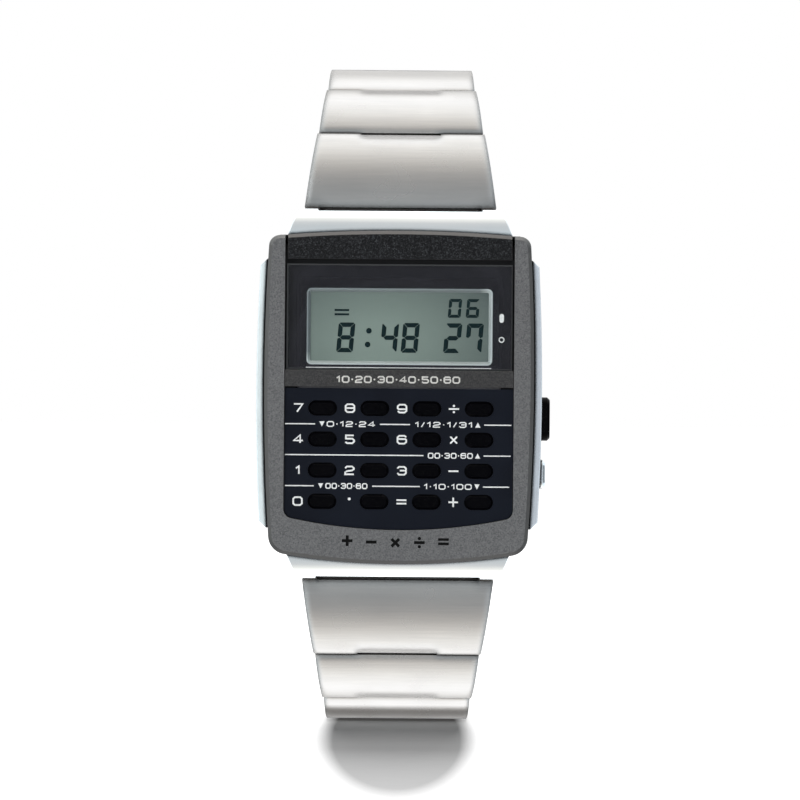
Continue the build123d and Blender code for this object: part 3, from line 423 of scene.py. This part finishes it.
def circuit_laminate(name):
    """Glass-epoxy board: green solder mask with the paler tracks of copper under it."""
    material, tree, place = blank_material(name)
    turned = node(tree, "ShaderNodeMapping", {"Vector": place, "Rotation": (pi / 2, 0, 0)})
    tracks = node(
        tree, "ShaderNodeTexBrick",
        {"Vector": turned.outputs[0], "Scale": per_mm(1.0), "Mortar Size": 0.06, "Mortar Smooth": 0.1,
         "Brick Width": 2.4, "Row Height": 0.8,
         "Color1": hex_colour("#2f6e44"), "Color2": hex_colour("#2a6640"), "Mortar": hex_colour("#1d4c30")},
    )
    weave = node(tree, "ShaderNodeTexNoise", {"Vector": place, "Scale": per_mm(0.3), "Detail": 2.0})
    bump = node(
        tree, "ShaderNodeBump", {"Height": tracks.outputs["Fac"], "Strength": 0.4, "Distance": 0.02 * MM}
    )
    shader = node(tree, "ShaderNodeBsdfPrincipled", {
        "Base Color": tracks.outputs["Color"],
        "Roughness": node(tree, "ShaderNodeMapRange", {
            0: weave.outputs[0], 1: 0.3, 2: 0.7, 3: 0.3, 4: 0.45,
        }).outputs[0],
        "Normal": bump.outputs[0],
    })
    node(tree, "ShaderNodeOutputMaterial", {"Surface": shader.outputs[0]})
    return material


def striped_silicone(name):
    """Connector rubber: layers of carbon-filled and clear silicone side by side along X. Real stripes are
    0.1 mm apart. The wave turns by 20 radians in each unit, so these come out 2.5 mm apart."""
    material, tree, place = blank_material(name)
    stripes = node(
        tree, "ShaderNodeTexWave", {"Vector": place, "Scale": per_mm(0.4) / 20, "Distortion": 0.3},
        bands_direction="X",
    )
    shader = node(tree, "ShaderNodeBsdfPrincipled", {
        "Base Color": node(tree, "ShaderNodeMix", {
            0: stripes.outputs["Fac"], 6: hex_colour("#26262a"), 7: hex_colour("#b9b7b0"),
        }, data_type="RGBA").outputs[2],
        "Roughness": 0.6,
    })
    node(tree, "ShaderNodeOutputMaterial", {"Surface": shader.outputs[0]})
    return material


case_chrome = chromed_resin("chromed_resin")
bezel_lacquer = flaked_lacquer("bezel_lacquer", "#575758", "#818182", "#6f6f6e", 0.13, 0.44, 0.6, 1.0)
strip_lacquer = flaked_lacquer("strip_lacquer", "#0b0b0d", "#46484b", "#72706e", 0.13, 0.5, 0.3, 3.0)
bar_lacquer = flaked_lacquer("bar_lacquer", "#323233", "#504f4f", "#6a6866", 0.13, 0.48, 0.5, 1.2)
crystal_glass = window_glass("window_glass")
back_print = printed_ink("black_print_behind_glass", "#34343a", "#3a3a40", 0.6, 1.05)
frame_plating = satin_plating("satin_frame_plating", "#949b9e", "#d6dcdc")
display_cell = display_film("display_film")
segment_ink = printed_ink("display_segments", "#0d2023", "#14292c", 0.5, 1.1)
plate_resin = moulded_resin("keypad_plate_resin", "#0e1119", "#131720", 0.35, 0.45, 1.2)
key_resin = moulded_resin("gloss_key_resin", "#020204", "#040407", 0.5, 0.14, 1.12)
button_resin = moulded_resin("black_button_resin", "#020203", "#040405", 0.5, 0.25, 1.12)
link_steel = brushed_steel("brushed_link_steel", "#a9a9a9", "#b2b1b0", 0.24, rolled=1.4)
clasp_steel = brushed_steel("stamped_clasp_steel", "#a8a6a3", "#b8b6b3", 0.26, run=14.0)
back_steel = turned_metal("turned_back_steel", "#b0aca6", "#c9c5bf", 0.28, (0, 0))
screw_steel = turned_metal("turned_screw_steel", "#a9a69f", "#c4c1ba", 0.3, (0, 0), 0.1)
bar_steel = brushed_steel("spring_bar_steel", "#b0ada6", "#c9c6bf", 0.3, run=4.0)
cell_nickel = turned_metal("nickelled_cell_can", "#bdbab2", "#d6d3cc", 0.25, (0, -3))
sounder_brass = turned_metal("sounder_brass", "#b08d3e", "#d6b563", 0.3, (0, 11))
white_print = printed_ink("white_pad_print", "#e9ecec", "#cfd3d3", 0.5)
grey_print = printed_ink("pale_grey_pad_print", "#cfcfcb", "#b4b4b0", 0.5)
black_print = printed_ink("black_pad_print", "#040404", "#0a0a0a", 0.5, 1.2)
laminate = circuit_laminate("green_circuit_laminate")
chip_epoxy = moulded_resin("chip_epoxy", "#101112", "#191a1b", 0.15, 0.6)
module_resin = moulded_resin("module_resin", "#a39d8f", "#b3ad9f", 0.4, 0.5)
connector_rubber = striped_silicone("connector_rubber")
dome_silicone = moulded_resin("dome_silicone", "#55565a", "#64656a", 0.3, 0.62)
seal_rubber = moulded_resin("seal_rubber", "#141415", "#1c1c1d", 0.25, 0.65)
reflector_foil = moulded_resin("satin_reflector_foil", "#aeb4af", "#c1c7c2", 0.1, 0.35)

finishes = {
    "case_middle": case_chrome, "adjust_button": case_chrome, "bezel": bezel_lacquer,
    "header_strip": strip_lacquer, "window_bar": bar_lacquer, "window_crystal": crystal_glass,
    "lcd_surround": back_print, "lcd_frame": frame_plating, "lcd_glass": display_cell,
    "lcd_reflector": reflector_foil, "zebra_connectors": connector_rubber, "keypad_plate": plate_resin,
    "key_rubber": dome_silicone, "circuit_board": laminate, "timer_chip": chip_epoxy,
    "module_frame": module_resin, "battery": cell_nickel, "battery_clip": bar_steel,
    "sounder_disc": sounder_brass, "case_back": back_steel, "back_gasket": seal_rubber,
    "back_screws": screw_steel, "mode_button": button_resin, "button_seals": seal_rubber,
    "spring_bars": bar_steel, "clasp_base": clasp_steel, "clasp_blade": clasp_steel,
    "clasp_cover": link_steel,
}
for name, piece in watch.items():
    if "_link_" in name:
        finish = link_steel
    elif name.startswith("key_") and name != "key_rubber":
        finish = key_resin
    else:
        finish = finishes[name]
    for place in piece.material_slots:
        place.material = finish
    if not piece.material_slots:
        piece.data.materials.append(finish)


# Prints and display segments: thin films of ink on the face that carries them

def seat(name, shape, finish):
    """Makes a piece of the case from a bmesh, in metres."""
    bmesh.ops.recalc_face_normals(shape, faces=shape.faces)
    mesh = bpy.data.meshes.new(name)
    shape.to_mesh(mesh)
    shape.free()
    piece = bpy.data.objects.new(name, mesh)
    scene.collection.objects.link(piece)
    mesh.materials.append(finish)
    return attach(piece, "case")


def add_film(shape, outline, back):
    """Adds a flat film with this outline of (x, z) points in millimetres, run anticlockwise from the
    front, on the face at back."""
    front = [shape.verts.new((x * MM, (back - INK) * MM, z * MM)) for x, z in outline]
    rear = [shape.verts.new((x * MM, back * MM, z * MM)) for x, z in outline]
    shape.faces.new(front)
    shape.faces.new(rear[::-1])
    for i in range(len(outline)):
        shape.faces.new((rear[i], rear[i - 1], front[i - 1], front[i]))


def add_ring(shape, x, z, outer, inner, back, steps=32):
    """Adds a flat ring of ink round (x, z)."""
    loops = []
    for radius, y in ((outer, back - INK), (inner, back - INK), (inner, back), (outer, back)):
        loops.append([
            shape.verts.new((px * MM, y * MM, pz * MM)) for px, pz in disc_outline(x, z, radius, steps)
        ])
    for first, second in zip(loops, loops[1:] + loops[:1]):
        for i in range(steps):
            shape.faces.new((first[i - 1], first[i], second[i], second[i - 1]))


def box_outline(x, z, width, height):
    return [(x - width / 2, z - height / 2), (x + width / 2, z - height / 2),
            (x + width / 2, z + height / 2), (x - width / 2, z + height / 2)]


def disc_outline(x, z, radius, steps=20):
    turns = [2 * pi * i / steps for i in range(steps)]
    return [(x + radius * cos(turn), z + radius * sin(turn)) for turn in turns]


def cross_outline(x, z, reach, half, turn=0.0):
    """Cross with square ends: a plus sign or, turned, a multiplication sign."""
    points = []
    for quarter in range(4):
        a = turn + quarter * pi / 2
        for along, across in ((reach, -half), (reach, half), (half, half)):
            points.append((x + along * cos(a) - across * sin(a), z + along * sin(a) + across * cos(a)))
    return points


def pill_outline(x, z, width, height, steps=8):
    """Upright pill with half-round ends."""
    radius, points = width / 2, []
    for end, start in ((1, 0), (-1, pi)):
        for i in range(steps + 1):
            turn = start + pi * i / steps
            points.append((x + radius * cos(turn), z + end * (height / 2 - radius) + radius * sin(turn)))
    return points


def add_stroke(shape, points, width, back):
    """Adds a line of ink along these (x, z) points in millimetres, with mitred corners. It closes on
    itself where its last point is its first."""
    closed = points[0] == points[-1]
    path = [Vector(p) for p in (points[:-1] if closed else points)]
    count = len(path)
    edges = [[], [], [], []]
    for i, here in enumerate(path):
        before = path[i - 1] if closed or i else 2 * here - path[1]
        after = path[(i + 1) % count] if closed or i < count - 1 else 2 * here - path[-2]
        first, second = (here - before).normalized(), (after - here).normalized()
        across = Vector((-first.y - second.y, first.x + second.x)).normalized()
        reach = width / 2 / max(across.dot(Vector((-first.y, first.x))), 0.6)
        for edge, side, y in zip(edges, (1, -1, -1, 1), (back - INK, back - INK, back, back)):
            spot = here + side * reach * across
            edge.append(shape.verts.new((spot.x * MM, y * MM, spot.y * MM)))
    for first, second in zip(edges, edges[1:] + edges[:1]):
        for i in range(0 if closed else 1, count):
            shape.faces.new((first[i - 1], first[i], second[i], second[i - 1]))
    if not closed:
        shape.faces.new([edge[0] for edge in edges])
        shape.faces.new([edge[-1] for edge in edges[::-1]])


# Wide square figures: strokes on a cell one unit wide and high, with cut corners
CUT, HALF = 0.2, 0.1
OVAL = [(CUT, 0), (1 - CUT, 0), (1, CUT), (1, 1 - CUT), (1 - CUT, 1), (CUT, 1), (0, 1 - CUT), (0, CUT),
        (CUT, 0)]
SIX = [(1, 0.82), (1 - CUT, 1), (CUT, 1), (0, 1 - CUT), (0, CUT), (CUT, 0), (1 - CUT, 0), (1, CUT),
       (1, 0.58 - CUT / 2), (1 - CUT / 2, 0.58), (HALF, 0.58)]
FIGURES = {
    "0": [OVAL],
    "1": [[(0, 0.72), (0.8, 1), (0.8, 0)]],
    "2": [[(0, 0.78), (CUT, 1), (1 - CUT, 1), (1, 1 - CUT), (1, 0.66), (1 - CUT, 0.5), (CUT, 0.4),
           (0, 0.24), (0, 0), (1, 0)]],
    "3": [[(0, 0.8), (CUT, 1), (1 - CUT, 1), (1, 1 - CUT), (1, 0.62), (0.92, 0.52), (1, 0.42), (1, CUT),
           (1 - CUT, 0), (CUT, 0), (0, 0.2)], [(0.3, 0.52), (0.92 - HALF, 0.52)]],
    "4": [[(0.74, 0), (0.74, 1), (0, 0.3), (0.74 - HALF, 0.3)], [(0.74 + HALF, 0.3), (1.05, 0.3)]],
    "5": [[(0.96, 1), (0.06, 1), (0.06, 0.58), (1 - CUT, 0.58), (1, 0.58 - CUT), (1, CUT), (1 - CUT, 0),
           (CUT, 0), (0, 0.16)]],
    "6": [SIX],
    "7": [[(0, 1), (1, 1), (0.36, 0)]],
    "8": [OVAL, [(HALF, 0.52), (1 - HALF, 0.52)]],
    "9": [[(1 - x, 1 - z) for x, z in SIX]],
    "/": [[(0, 0), (1, 1)]],
}
NARROW = {"1": 0.5, "·": 0.25, "/": 0.45}   # widths of the figures that aren't a whole cell
GAP = 0.42                                  # space between two figures, as a share of a cell


def add_figures(shape, text, left, right, z, height, stroke, back):
    """Adds figures that fill the space from left to right, with their middle at z."""
    widths = [NARROW.get(figure, 1.0) for figure in text]
    cell = (right - left - stroke) / (sum(widths) + GAP * (len(text) - 1))
    x, rise = left + stroke / 2, height - stroke
    for figure, width in zip(text, widths):
        if figure == "·":
            add_film(shape, disc_outline(x + width * cell / 2, z, 0.6 * stroke, 12), back)
        else:
            for path in FIGURES[figure]:
                add_stroke(shape, [(x + px * width * cell, z + (pz - 0.5) * rise) for px, pz in path],
                           stroke, back)
        x += (width + GAP) * cell


ROWS = [corner(name, 0, 2) / 2 + corner(name, 1, 2) / 2 for name in ("key_7", "key_4", "key_1", "key_0")]
LEGENDS = [-11.72, -5.70, 0.37, 6.40]
FIGURE = 1.1                # height of the keypad's figures, mm
FIGURE_HALF = 0.6           # half their width
STROKE = 0.19               # width of the lines in them and in the signs
SMALL, SMALL_STROKE = 0.68, 0.13
RULE = 0.13                 # width of the white rules

digits = bmesh.new()
for row, figures in zip(ROWS, ("789", "456", "123", "0")):
    for x, figure in zip(LEGENDS, figures):
        half = FIGURE_HALF * NARROW.get(figure, 1.0)
        add_figures(digits, figure, x - half, x + half, row, FIGURE, STROKE, PLATE_FRONT)
seat("keypad_digits", digits, white_print)

signs = bmesh.new()
x = LEGENDS[3]
# Divide
add_film(signs, box_outline(x, ROWS[0], 1.2, STROKE), PLATE_FRONT)
for up in (0.36, -0.36):
    add_film(signs, disc_outline(x, ROWS[0] + up, 0.13), PLATE_FRONT)
# Multiply: each arm ends in a square corner
arm, half = 0.42, STROKE / 2 * 1.414
cross = []
for i in range(4):
    c, s = (1, 0, -1, 0)[i], (0, 1, 0, -1)[i]
    for along, across in ((arm, arm - half), (arm, arm), (arm - half, arm), (0, half)):
        cross.append((x + along * c - across * s, ROWS[1] + along * s + across * c))
add_film(signs, cross, PLATE_FRONT)
# Subtract, add, equals and the point
add_film(signs, box_outline(x, ROWS[2], 1.15, STROKE), PLATE_FRONT)
add_film(signs, cross_outline(x, ROWS[3], 0.55, STROKE / 2), PLATE_FRONT)
for up in (0.2, -0.2):
    add_film(signs, box_outline(LEGENDS[2], ROWS[3] + up, 1.15, STROKE), PLATE_FRONT)
add_film(signs, disc_outline(LEGENDS[1], ROWS[3] + 0.3, 0.17), PLATE_FRONT)
seat("keypad_signs", signs, white_print)

rules = bmesh.new()
for z, runs in (
    (-3.55, ((-13.25, -9.75), (-2.2, 1.3), (9.94, 13.1))),
    (-7.15, ((-13.25, 2.9), (9.9, 13.05))),
    (-10.76, ((-13.2, -9.85), (-3.05, 2.49), (9.85, 12.9))),
):
    for start, end in runs:
        add_film(rules, box_outline((start + end) / 2, z, end - start, RULE), PLATE_FRONT)
seat("keypad_rules", rules, white_print)

small = bmesh.new()
pointer = 0.3
for line, left, right, z, arrow_x, up in (
    ("0·12·24", -8.4, -2.75, -3.55, -8.95, -1), ("1/12·1/31", 1.85, 8.6, -3.55, 9.2, 1),
    ("00·30·60", 3.4, 8.65, -7.15, 9.2, 1),
    ("00·30·60", -8.5, -3.6, -10.76, -9.05, -1), ("1·10·100", 2.95, 8.55, -10.76, 9.15, -1),
):
    add_figures(small, line, left, right, z, SMALL, SMALL_STROKE, PLATE_FRONT)
    arrow = [(arrow_x - pointer, z - up * pointer), (arrow_x + pointer, z - up * pointer),
             (arrow_x, z + up * pointer)]
    add_film(small, arrow if up > 0 else arrow[::-1], PLATE_FRONT)
seat("keypad_small_figures", small, white_print)

scale_print = bmesh.new()
add_figures(scale_print, "10·20·30·40·50·60", -7.35, 7.1, 1.66, 0.84, 0.17, BAR_FRONT)
seat("bar_scale", scale_print, grey_print)

# Five signs along the bezel's foot, on the same arc as its edge
foot = bmesh.new()
arc_radius, sign_z = 88.0, -17.3
for i, mark in enumerate(("+", "−", "×", "÷", "=")):
    x = -0.3 + (i - 2) * 2.8
    z = sign_z + x * x / (2 * arc_radius)
    reach, thick = 0.62, 0.17
    if mark in "+×":
        add_film(foot, cross_outline(x, z, reach, thick, pi / 4 if mark == "×" else 0.0), BEZEL_FRONT)
    elif mark == "=":
        for up in (0.25, -0.25):
            add_film(foot, box_outline(x, z + up, 2 * reach, 1.8 * thick), BEZEL_FRONT)
    else:
        add_film(foot, box_outline(x, z, 2 * reach, 2 * thick), BEZEL_FRONT)
        if mark == "÷":
            for up in (0.48, -0.48):
                add_film(foot, disc_outline(x, z + up, 0.19), BEZEL_FRONT)
seat("bezel_signs", foot, black_print)

# Painted shade: a black film under the bezel, which darkens the upper ends of its two seams
seam_shade_film = bmesh.new()
SHADE_OUT, SHADE_UP, SHADE_WIDTH, SHADE_HEIGHT = 13.35, 17.9, 1.3, 1.2      # mm
for side in (-1, 1):
    add_film(seam_shade_film, box_outline(side * SHADE_OUT, SHADE_UP, SHADE_WIDTH, SHADE_HEIGHT), BEZEL_REAR + INK)
seat("painted_seam_shade", seam_shade_film, seal_rubber)

crystal_marks = bmesh.new()
add_film(crystal_marks, pill_outline(11.9, 8.9, 0.52, 1.05), PRINT_FRONT)
add_ring(crystal_marks, 11.9, 6.4, 0.34, 0.22, PRINT_FRONT)
add_film(crystal_marks, box_outline(-0.1, 3.02, 21.6, 0.14), PRINT_FRONT)
seat("crystal_marks", crystal_marks, white_print)

# Display: seven-segment figures with mitred ends, leaning a little
LEAN = tan(radians(5))
SEGMENTS = {"0": "abcdef", "2": "abged", "4": "fgbc", "6": "afgedc", "7": "fabc", "8": "abcdefg"}


def add_figure(shape, figure, left, foot_z, width, height, stroke, gap):
    """Adds one seven-segment figure, with cut corners, whose cell starts at left and foot_z."""
    mid, w, h, t, g, c = height / 2, width, height, stroke, gap, 0.35 * stroke
    outlines = {
        "a": [(c + g, h), (c / 2 + g, h - c / 2), (t + g, h - t), (w - t - g, h - t),
              (w - c / 2 - g, h - c / 2), (w - c - g, h)],
        "d": [(c + g, 0), (w - c - g, 0), (w - c / 2 - g, c / 2), (w - t - g, t), (t + g, t),
              (c / 2 + g, c / 2)],
        "g": [(t / 2 + g, mid), (t + g, mid - t / 2), (w - t - g, mid - t / 2), (w - t / 2 - g, mid),
              (w - t - g, mid + t / 2), (t + g, mid + t / 2)],
        "f": [(0, h - c - g), (0, mid + t / 4 + g), (t / 2, mid + g), (t, mid + t / 2 + g),
              (t, h - t - g), (c / 2, h - c / 2 - g)],
        "b": [(w, h - c - g), (w - c / 2, h - c / 2 - g), (w - t, h - t - g), (w - t, mid + t / 2 + g),
              (w - t / 2, mid + g), (w, mid + t / 4 + g)],
        "e": [(0, c + g), (c / 2, c / 2 + g), (t, t + g), (t, mid - t / 2 - g), (t / 2, mid - g),
              (0, mid - t / 4 - g)],
        "c": [(w, c + g), (w, mid - t / 4 - g), (w - t / 2, mid - g), (w - t, mid - t / 2 - g),
              (w - t, t + g), (w - c / 2, c / 2 + g)],
    }
    for segment in SEGMENTS[figure]:
        add_film(
            shape, [(left + px + pz * LEAN, foot_z + pz) for px, pz in outlines[segment]], GLASS_FRONT
        )


# Foot, width, height, stroke and gap of the large and the small figures, mm
LARGE_CELL = (4.82, 1.95, 3.48, 0.52, 0.025)
SMALL_CELL = (8.95, 1.5, 2.2, 0.36, 0.02)
display = bmesh.new()
for figure, left in (("8", -7.4), ("4", -2.3), ("8", 0.13), ("2", 5.08), ("7", 7.6)):
    add_figure(display, figure, left, *LARGE_CELL)
for figure, left in (("0", 5.6), ("6", 7.7)):
    add_figure(display, figure, left, *SMALL_CELL)
for z in (7.35, 5.75):
    add_film(display, disc_outline(-3.8 + (z - 4.8) * LEAN, z, 0.33), GLASS_FRONT)
for z in (9.75, 9.25):
    add_film(display, box_outline(-6.75, z, 1.7, 0.24), GLASS_FRONT)
seat("display_segments", display, segment_ink)


# Studio: floor, light tent and lamps

def stage_floor():
    """Sweep of white paper. It shows the object's shadow near it, shaped by painted light: a glow to the
    camera ends the shadow at an oval, pales it toward the camera, and makes the paper plain white beyond.
    """
    shape = bmesh.new()
    reach, near = 3.0, -0.9             # half the sheet's width and its near edge, m
    below = 0.02                        # paper under the lowest link, mm
    half_wide, half_long = 0.0086, 0.084    # half axes of the oval, m
    ahead = 0.1                         # its middle, as a share of half its length toward the camera
    corners = [(-reach, near), (reach, near), (reach, 2 * reach), (-reach, 2 * reach)]
    shape.faces.new([shape.verts.new((x, y, (FLOOR - below) * MM)) for x, y in corners])
    mesh = bpy.data.meshes.new("paper_floor")
    shape.to_mesh(mesh)
    shape.free()
    floor = bpy.data.objects.new("paper_floor", mesh)
    scene.collection.objects.link(floor)
    floor.visible_glossy = False        # metal mirrors the tent's lower half instead
    material, tree, place = blank_material("white_paper")
    light_path = node(tree, "ShaderNodeLightPath")
    seen = node(tree, "ShaderNodeMath", {
        0: light_path.outputs["Is Camera Ray"], 1: light_path.outputs["Is Transmission Ray"],
    }, operation="MAXIMUM").outputs[0]
    # Painted light: the paper glows to the camera, white beyond a long narrow oval round the contact line,
    # and inside it more toward the camera in two steps, each given by where it starts and ends in metres and
    # by how much it adds
    steps = ((-0.004, -0.025, 0.145), (-0.025, -0.085, 0.07))
    oval = node(tree, "ShaderNodeMapping", {
        "Vector": place, "Location": (0.0, ahead, 0.0), "Scale": (1 / half_wide, 1 / half_long, 0.0),
    })
    away = node(tree, "ShaderNodeVectorMath", {0: oval.outputs[0]}, operation="LENGTH").outputs["Value"]
    forward = node(tree, "ShaderNodeSeparateXYZ", {0: place}).outputs["Y"]
    first, second = (
        node(tree, "ShaderNodeMapRange", {0: forward, 1: start, 2: end, 3: 0.0, 4: rise}).outputs[0]
        for start, end, rise in steps
    )
    painted_floor_glow = node(tree, "ShaderNodeMath", {0: first, 1: second}, operation="ADD").outputs[0]
    painted_floor_glow = node(tree, "ShaderNodeMath", {
        0: painted_floor_glow, 1: node(tree, "ShaderNodeMapRange", {0: away, 1: 0.85, 2: 1.16}).outputs[0],
    }, operation="ADD").outputs[0]
    glow = node(tree, "ShaderNodeMath", {0: painted_floor_glow, 1: seen}, operation="MULTIPLY")
    fibre = node(tree, "ShaderNodeTexNoise", {"Vector": place, "Scale": per_mm(2.0), "Detail": 3.0})
    paper = node(tree, "ShaderNodeAddShader", {
        0: node(tree, "ShaderNodeBsdfDiffuse", {
            "Color": node(tree, "ShaderNodeMix", {
                0: fibre.outputs[0], 6: hex_colour("#c6c6c6"), 7: hex_colour("#cccccc"),
            }, data_type="RGBA").outputs[2],
        }).outputs[0],
        1: node(tree, "ShaderNodeEmission", {"Strength": glow.outputs[0]}).outputs[0],
    })
    node(tree, "ShaderNodeOutputMaterial", {"Surface": paper.outputs[0]})
    mesh.materials.append(material)


def light_tent():
    """White room, brighter to 9 o'clock. Metal and glass see it in bands that are the same above and
    below the watch: grey in front, paler beyond, then white overhead and light grey behind. There are
    dark openings straight in front for the lens, behind and beside."""
    matt_light, mirrored_light = 0.15, 2.4   # metal mirrors the tent at 2.4 times paper white
    world = bpy.data.worlds.new("light_tent")
    scene.world = world
    world.use_nodes = True
    tree = world.node_tree
    tree.nodes.clear()
    toward = node(tree, "ShaderNodeSeparateXYZ", {0: node(tree, "ShaderNodeTexCoord").outputs["Generated"]})
    front = node(tree, "ShaderNodeMath", {0: toward.outputs["Y"], 1: -1.0}, operation="MULTIPLY").outputs[0]
    height = node(tree, "ShaderNodeMath", {0: toward.outputs["Z"]}, operation="ABSOLUTE").outputs[0]
    angle = node(tree, "ShaderNodeMath", {0: height, 1: front}, operation="ARCTAN2").outputs[0]
    ramp = node(tree, "ShaderNodeValToRGB", {
        0: node(tree, "ShaderNodeMapRange", {0: angle, 1: 0.0, 2: pi}).outputs[0],
    })
    bands = ramp.color_ramp.elements
    bands.remove(bands[-1])
    for degrees, colour in (
        (0, "#959b9e"), (12, "#959b9e"), (20, "#8d8f90"), (32, "#8e8f8f"), (42, "#969594"), (52, "#aeaba6"),
        (62, "#cbc8c3"), (72, "#e4e2dd"), (78, "#f8f7f4"), (84, "#f4f3f1"), (90, "#f4f3f1"),
        (97, "#ffffff"), (114, "#ffffff"), (118, "#f4f3f1"), (124, "#dcdbd9"), (130, "#cccbc9"),
        (138, "#c2c1c0"), (147, "#bcbbb9"), (160, "#c4c3c2"), (180, "#c4c3c2"),
    ):
        band = bands.new(degrees / 180) if degrees else bands[0]
        band.color = hex_colour(colour)
    seen = ramp.outputs[0]
    side = node(tree, "ShaderNodeMath", {0: toward.outputs["X"]}, operation="ABSOLUTE").outputs[0]
    level = node(tree, "ShaderNodeMix", {
        0: node(tree, "ShaderNodeMapRange", {0: toward.outputs["X"], 1: -0.03, 2: 0.03}).outputs[0],
        6: hex_colour("#b2b7b6"), 7: hex_colour("#919499"),
    }, data_type="RGBA").outputs[2]
    seen = node(tree, "ShaderNodeMix", {
        0: node(tree, "ShaderNodeMapRange", {0: height, 1: 0.1, 2: 0.17}).outputs[0], 6: level, 7: seen,
    }, data_type="RGBA").outputs[2]
    walls = node(tree, "ShaderNodeMix", {
        0: node(tree, "ShaderNodeMapRange", {0: toward.outputs["X"], 1: -0.1, 2: 0.1}).outputs[0],
        6: hex_colour("#b4babc"), 7: hex_colour("#abb1b5"),
    }, data_type="RGBA").outputs[2]
    seen = node(tree, "ShaderNodeMix", {
        0: node(tree, "ShaderNodeMapRange", {0: side, 1: 0.3, 2: 0.75}).outputs[0], 6: seen, 7: walls,
    }, data_type="RGBA").outputs[2]
    # The lens in front and the openings, by the sine or the cosine of the angle from their middle
    lens = node(tree, "ShaderNodeMath", {
        0: node(tree, "ShaderNodeMapRange", {0: side, 1: 0.026, 2: 0.029, 3: 1.0, 4: 0.0}).outputs[0],
        1: node(tree, "ShaderNodeMapRange", {0: height, 1: 0.034, 2: 0.04, 3: 1.0, 4: 0.0}).outputs[0],
    }, operation="MULTIPLY").outputs[0]
    seen = node(tree, "ShaderNodeMix", {
        0: lens, 6: seen, 7: hex_colour("#505255"),
    }, data_type="RGBA").outputs[2]
    for facing, wide, narrow in ((toward.outputs["Y"], 24, 10), (side, 26, 16)):
        opening = node(tree, "ShaderNodeMapRange", {
            0: facing, 1: cos(radians(wide)), 2: cos(radians(narrow)),
        }).outputs[0]
        seen = node(tree, "ShaderNodeMix", {
            0: opening, 6: seen, 7: hex_colour("#595c5f"),
        }, data_type="RGBA").outputs[2]
    light_path = node(tree, "ShaderNodeLightPath")
    shiny = node(tree, "ShaderNodeMath", {
        0: light_path.outputs["Is Glossy Ray"], 1: light_path.outputs["Is Transmission Ray"],
    }, operation="MAXIMUM").outputs[0]
    white = hex_colour("#ffffff")
    room = node(tree, "ShaderNodeMixShader", {
        0: shiny,
        1: node(tree, "ShaderNodeBackground", {"Color": white, "Strength": matt_light}).outputs[0],
        2: node(tree, "ShaderNodeBackground", {"Color": seen, "Strength": mirrored_light}).outputs[0],
    })
    backdrop = node(tree, "ShaderNodeBackground", {"Color": white, "Strength": 1.0})
    node(tree, "ShaderNodeOutputWorld", {"Surface": node(tree, "ShaderNodeMixShader", {
        0: light_path.outputs["Is Camera Ray"], 1: room.outputs[0], 2: backdrop.outputs[0],
    }).outputs[0]})


def softbox(name, place, width, height, watts, mirrored=True):
    """Rectangular lamp at a place in metres, turned to the watch. Metal mirrors it unless mirrored is off."""
    lamp = bpy.data.lights.new(name, "AREA")
    lamp.shape, lamp.size, lamp.size_y = "RECTANGLE", width, height
    lamp.energy = watts
    holder = bpy.data.objects.new(name, lamp)
    holder.location = place
    holder.rotation_euler = (-Vector(place)).to_track_quat("-Z", "Y").to_euler()
    holder.visible_glossy = mirrored
    scene.collection.objects.link(holder)


stage_floor()
light_tent()
softbox("front_fill", (-0.15, -0.7, 0.0), 0.5, 0.1, 4.4, mirrored=False)
softbox("left_strip", (-0.5, -0.12, 0.12), 0.12, 0.5, 0.3)
softbox("rear_lamp", (0.0, 0.42, 0.5), 0.4, 0.45, 4.4, mirrored=False)

# Camera: long lens straight in front, turned so that the watch stands a little clockwise
SENSOR, FOCAL = 36.0, 193.5                     # mm
CAMERA_PLACE = (0.000116, -0.5082, -0.0007)     # m
CLOCKWISE = 0.45                                # degrees
camera = bpy.data.cameras.new("camera")
camera.sensor_width, camera.lens = SENSOR, FOCAL
holder = bpy.data.objects.new("camera", camera)
holder.location = CAMERA_PLACE
holder.rotation_euler = (radians(90), radians(-CLOCKWISE), 0)
scene.collection.objects.link(holder)
scene.camera = holder

scene.view_settings.view_transform = "Standard"
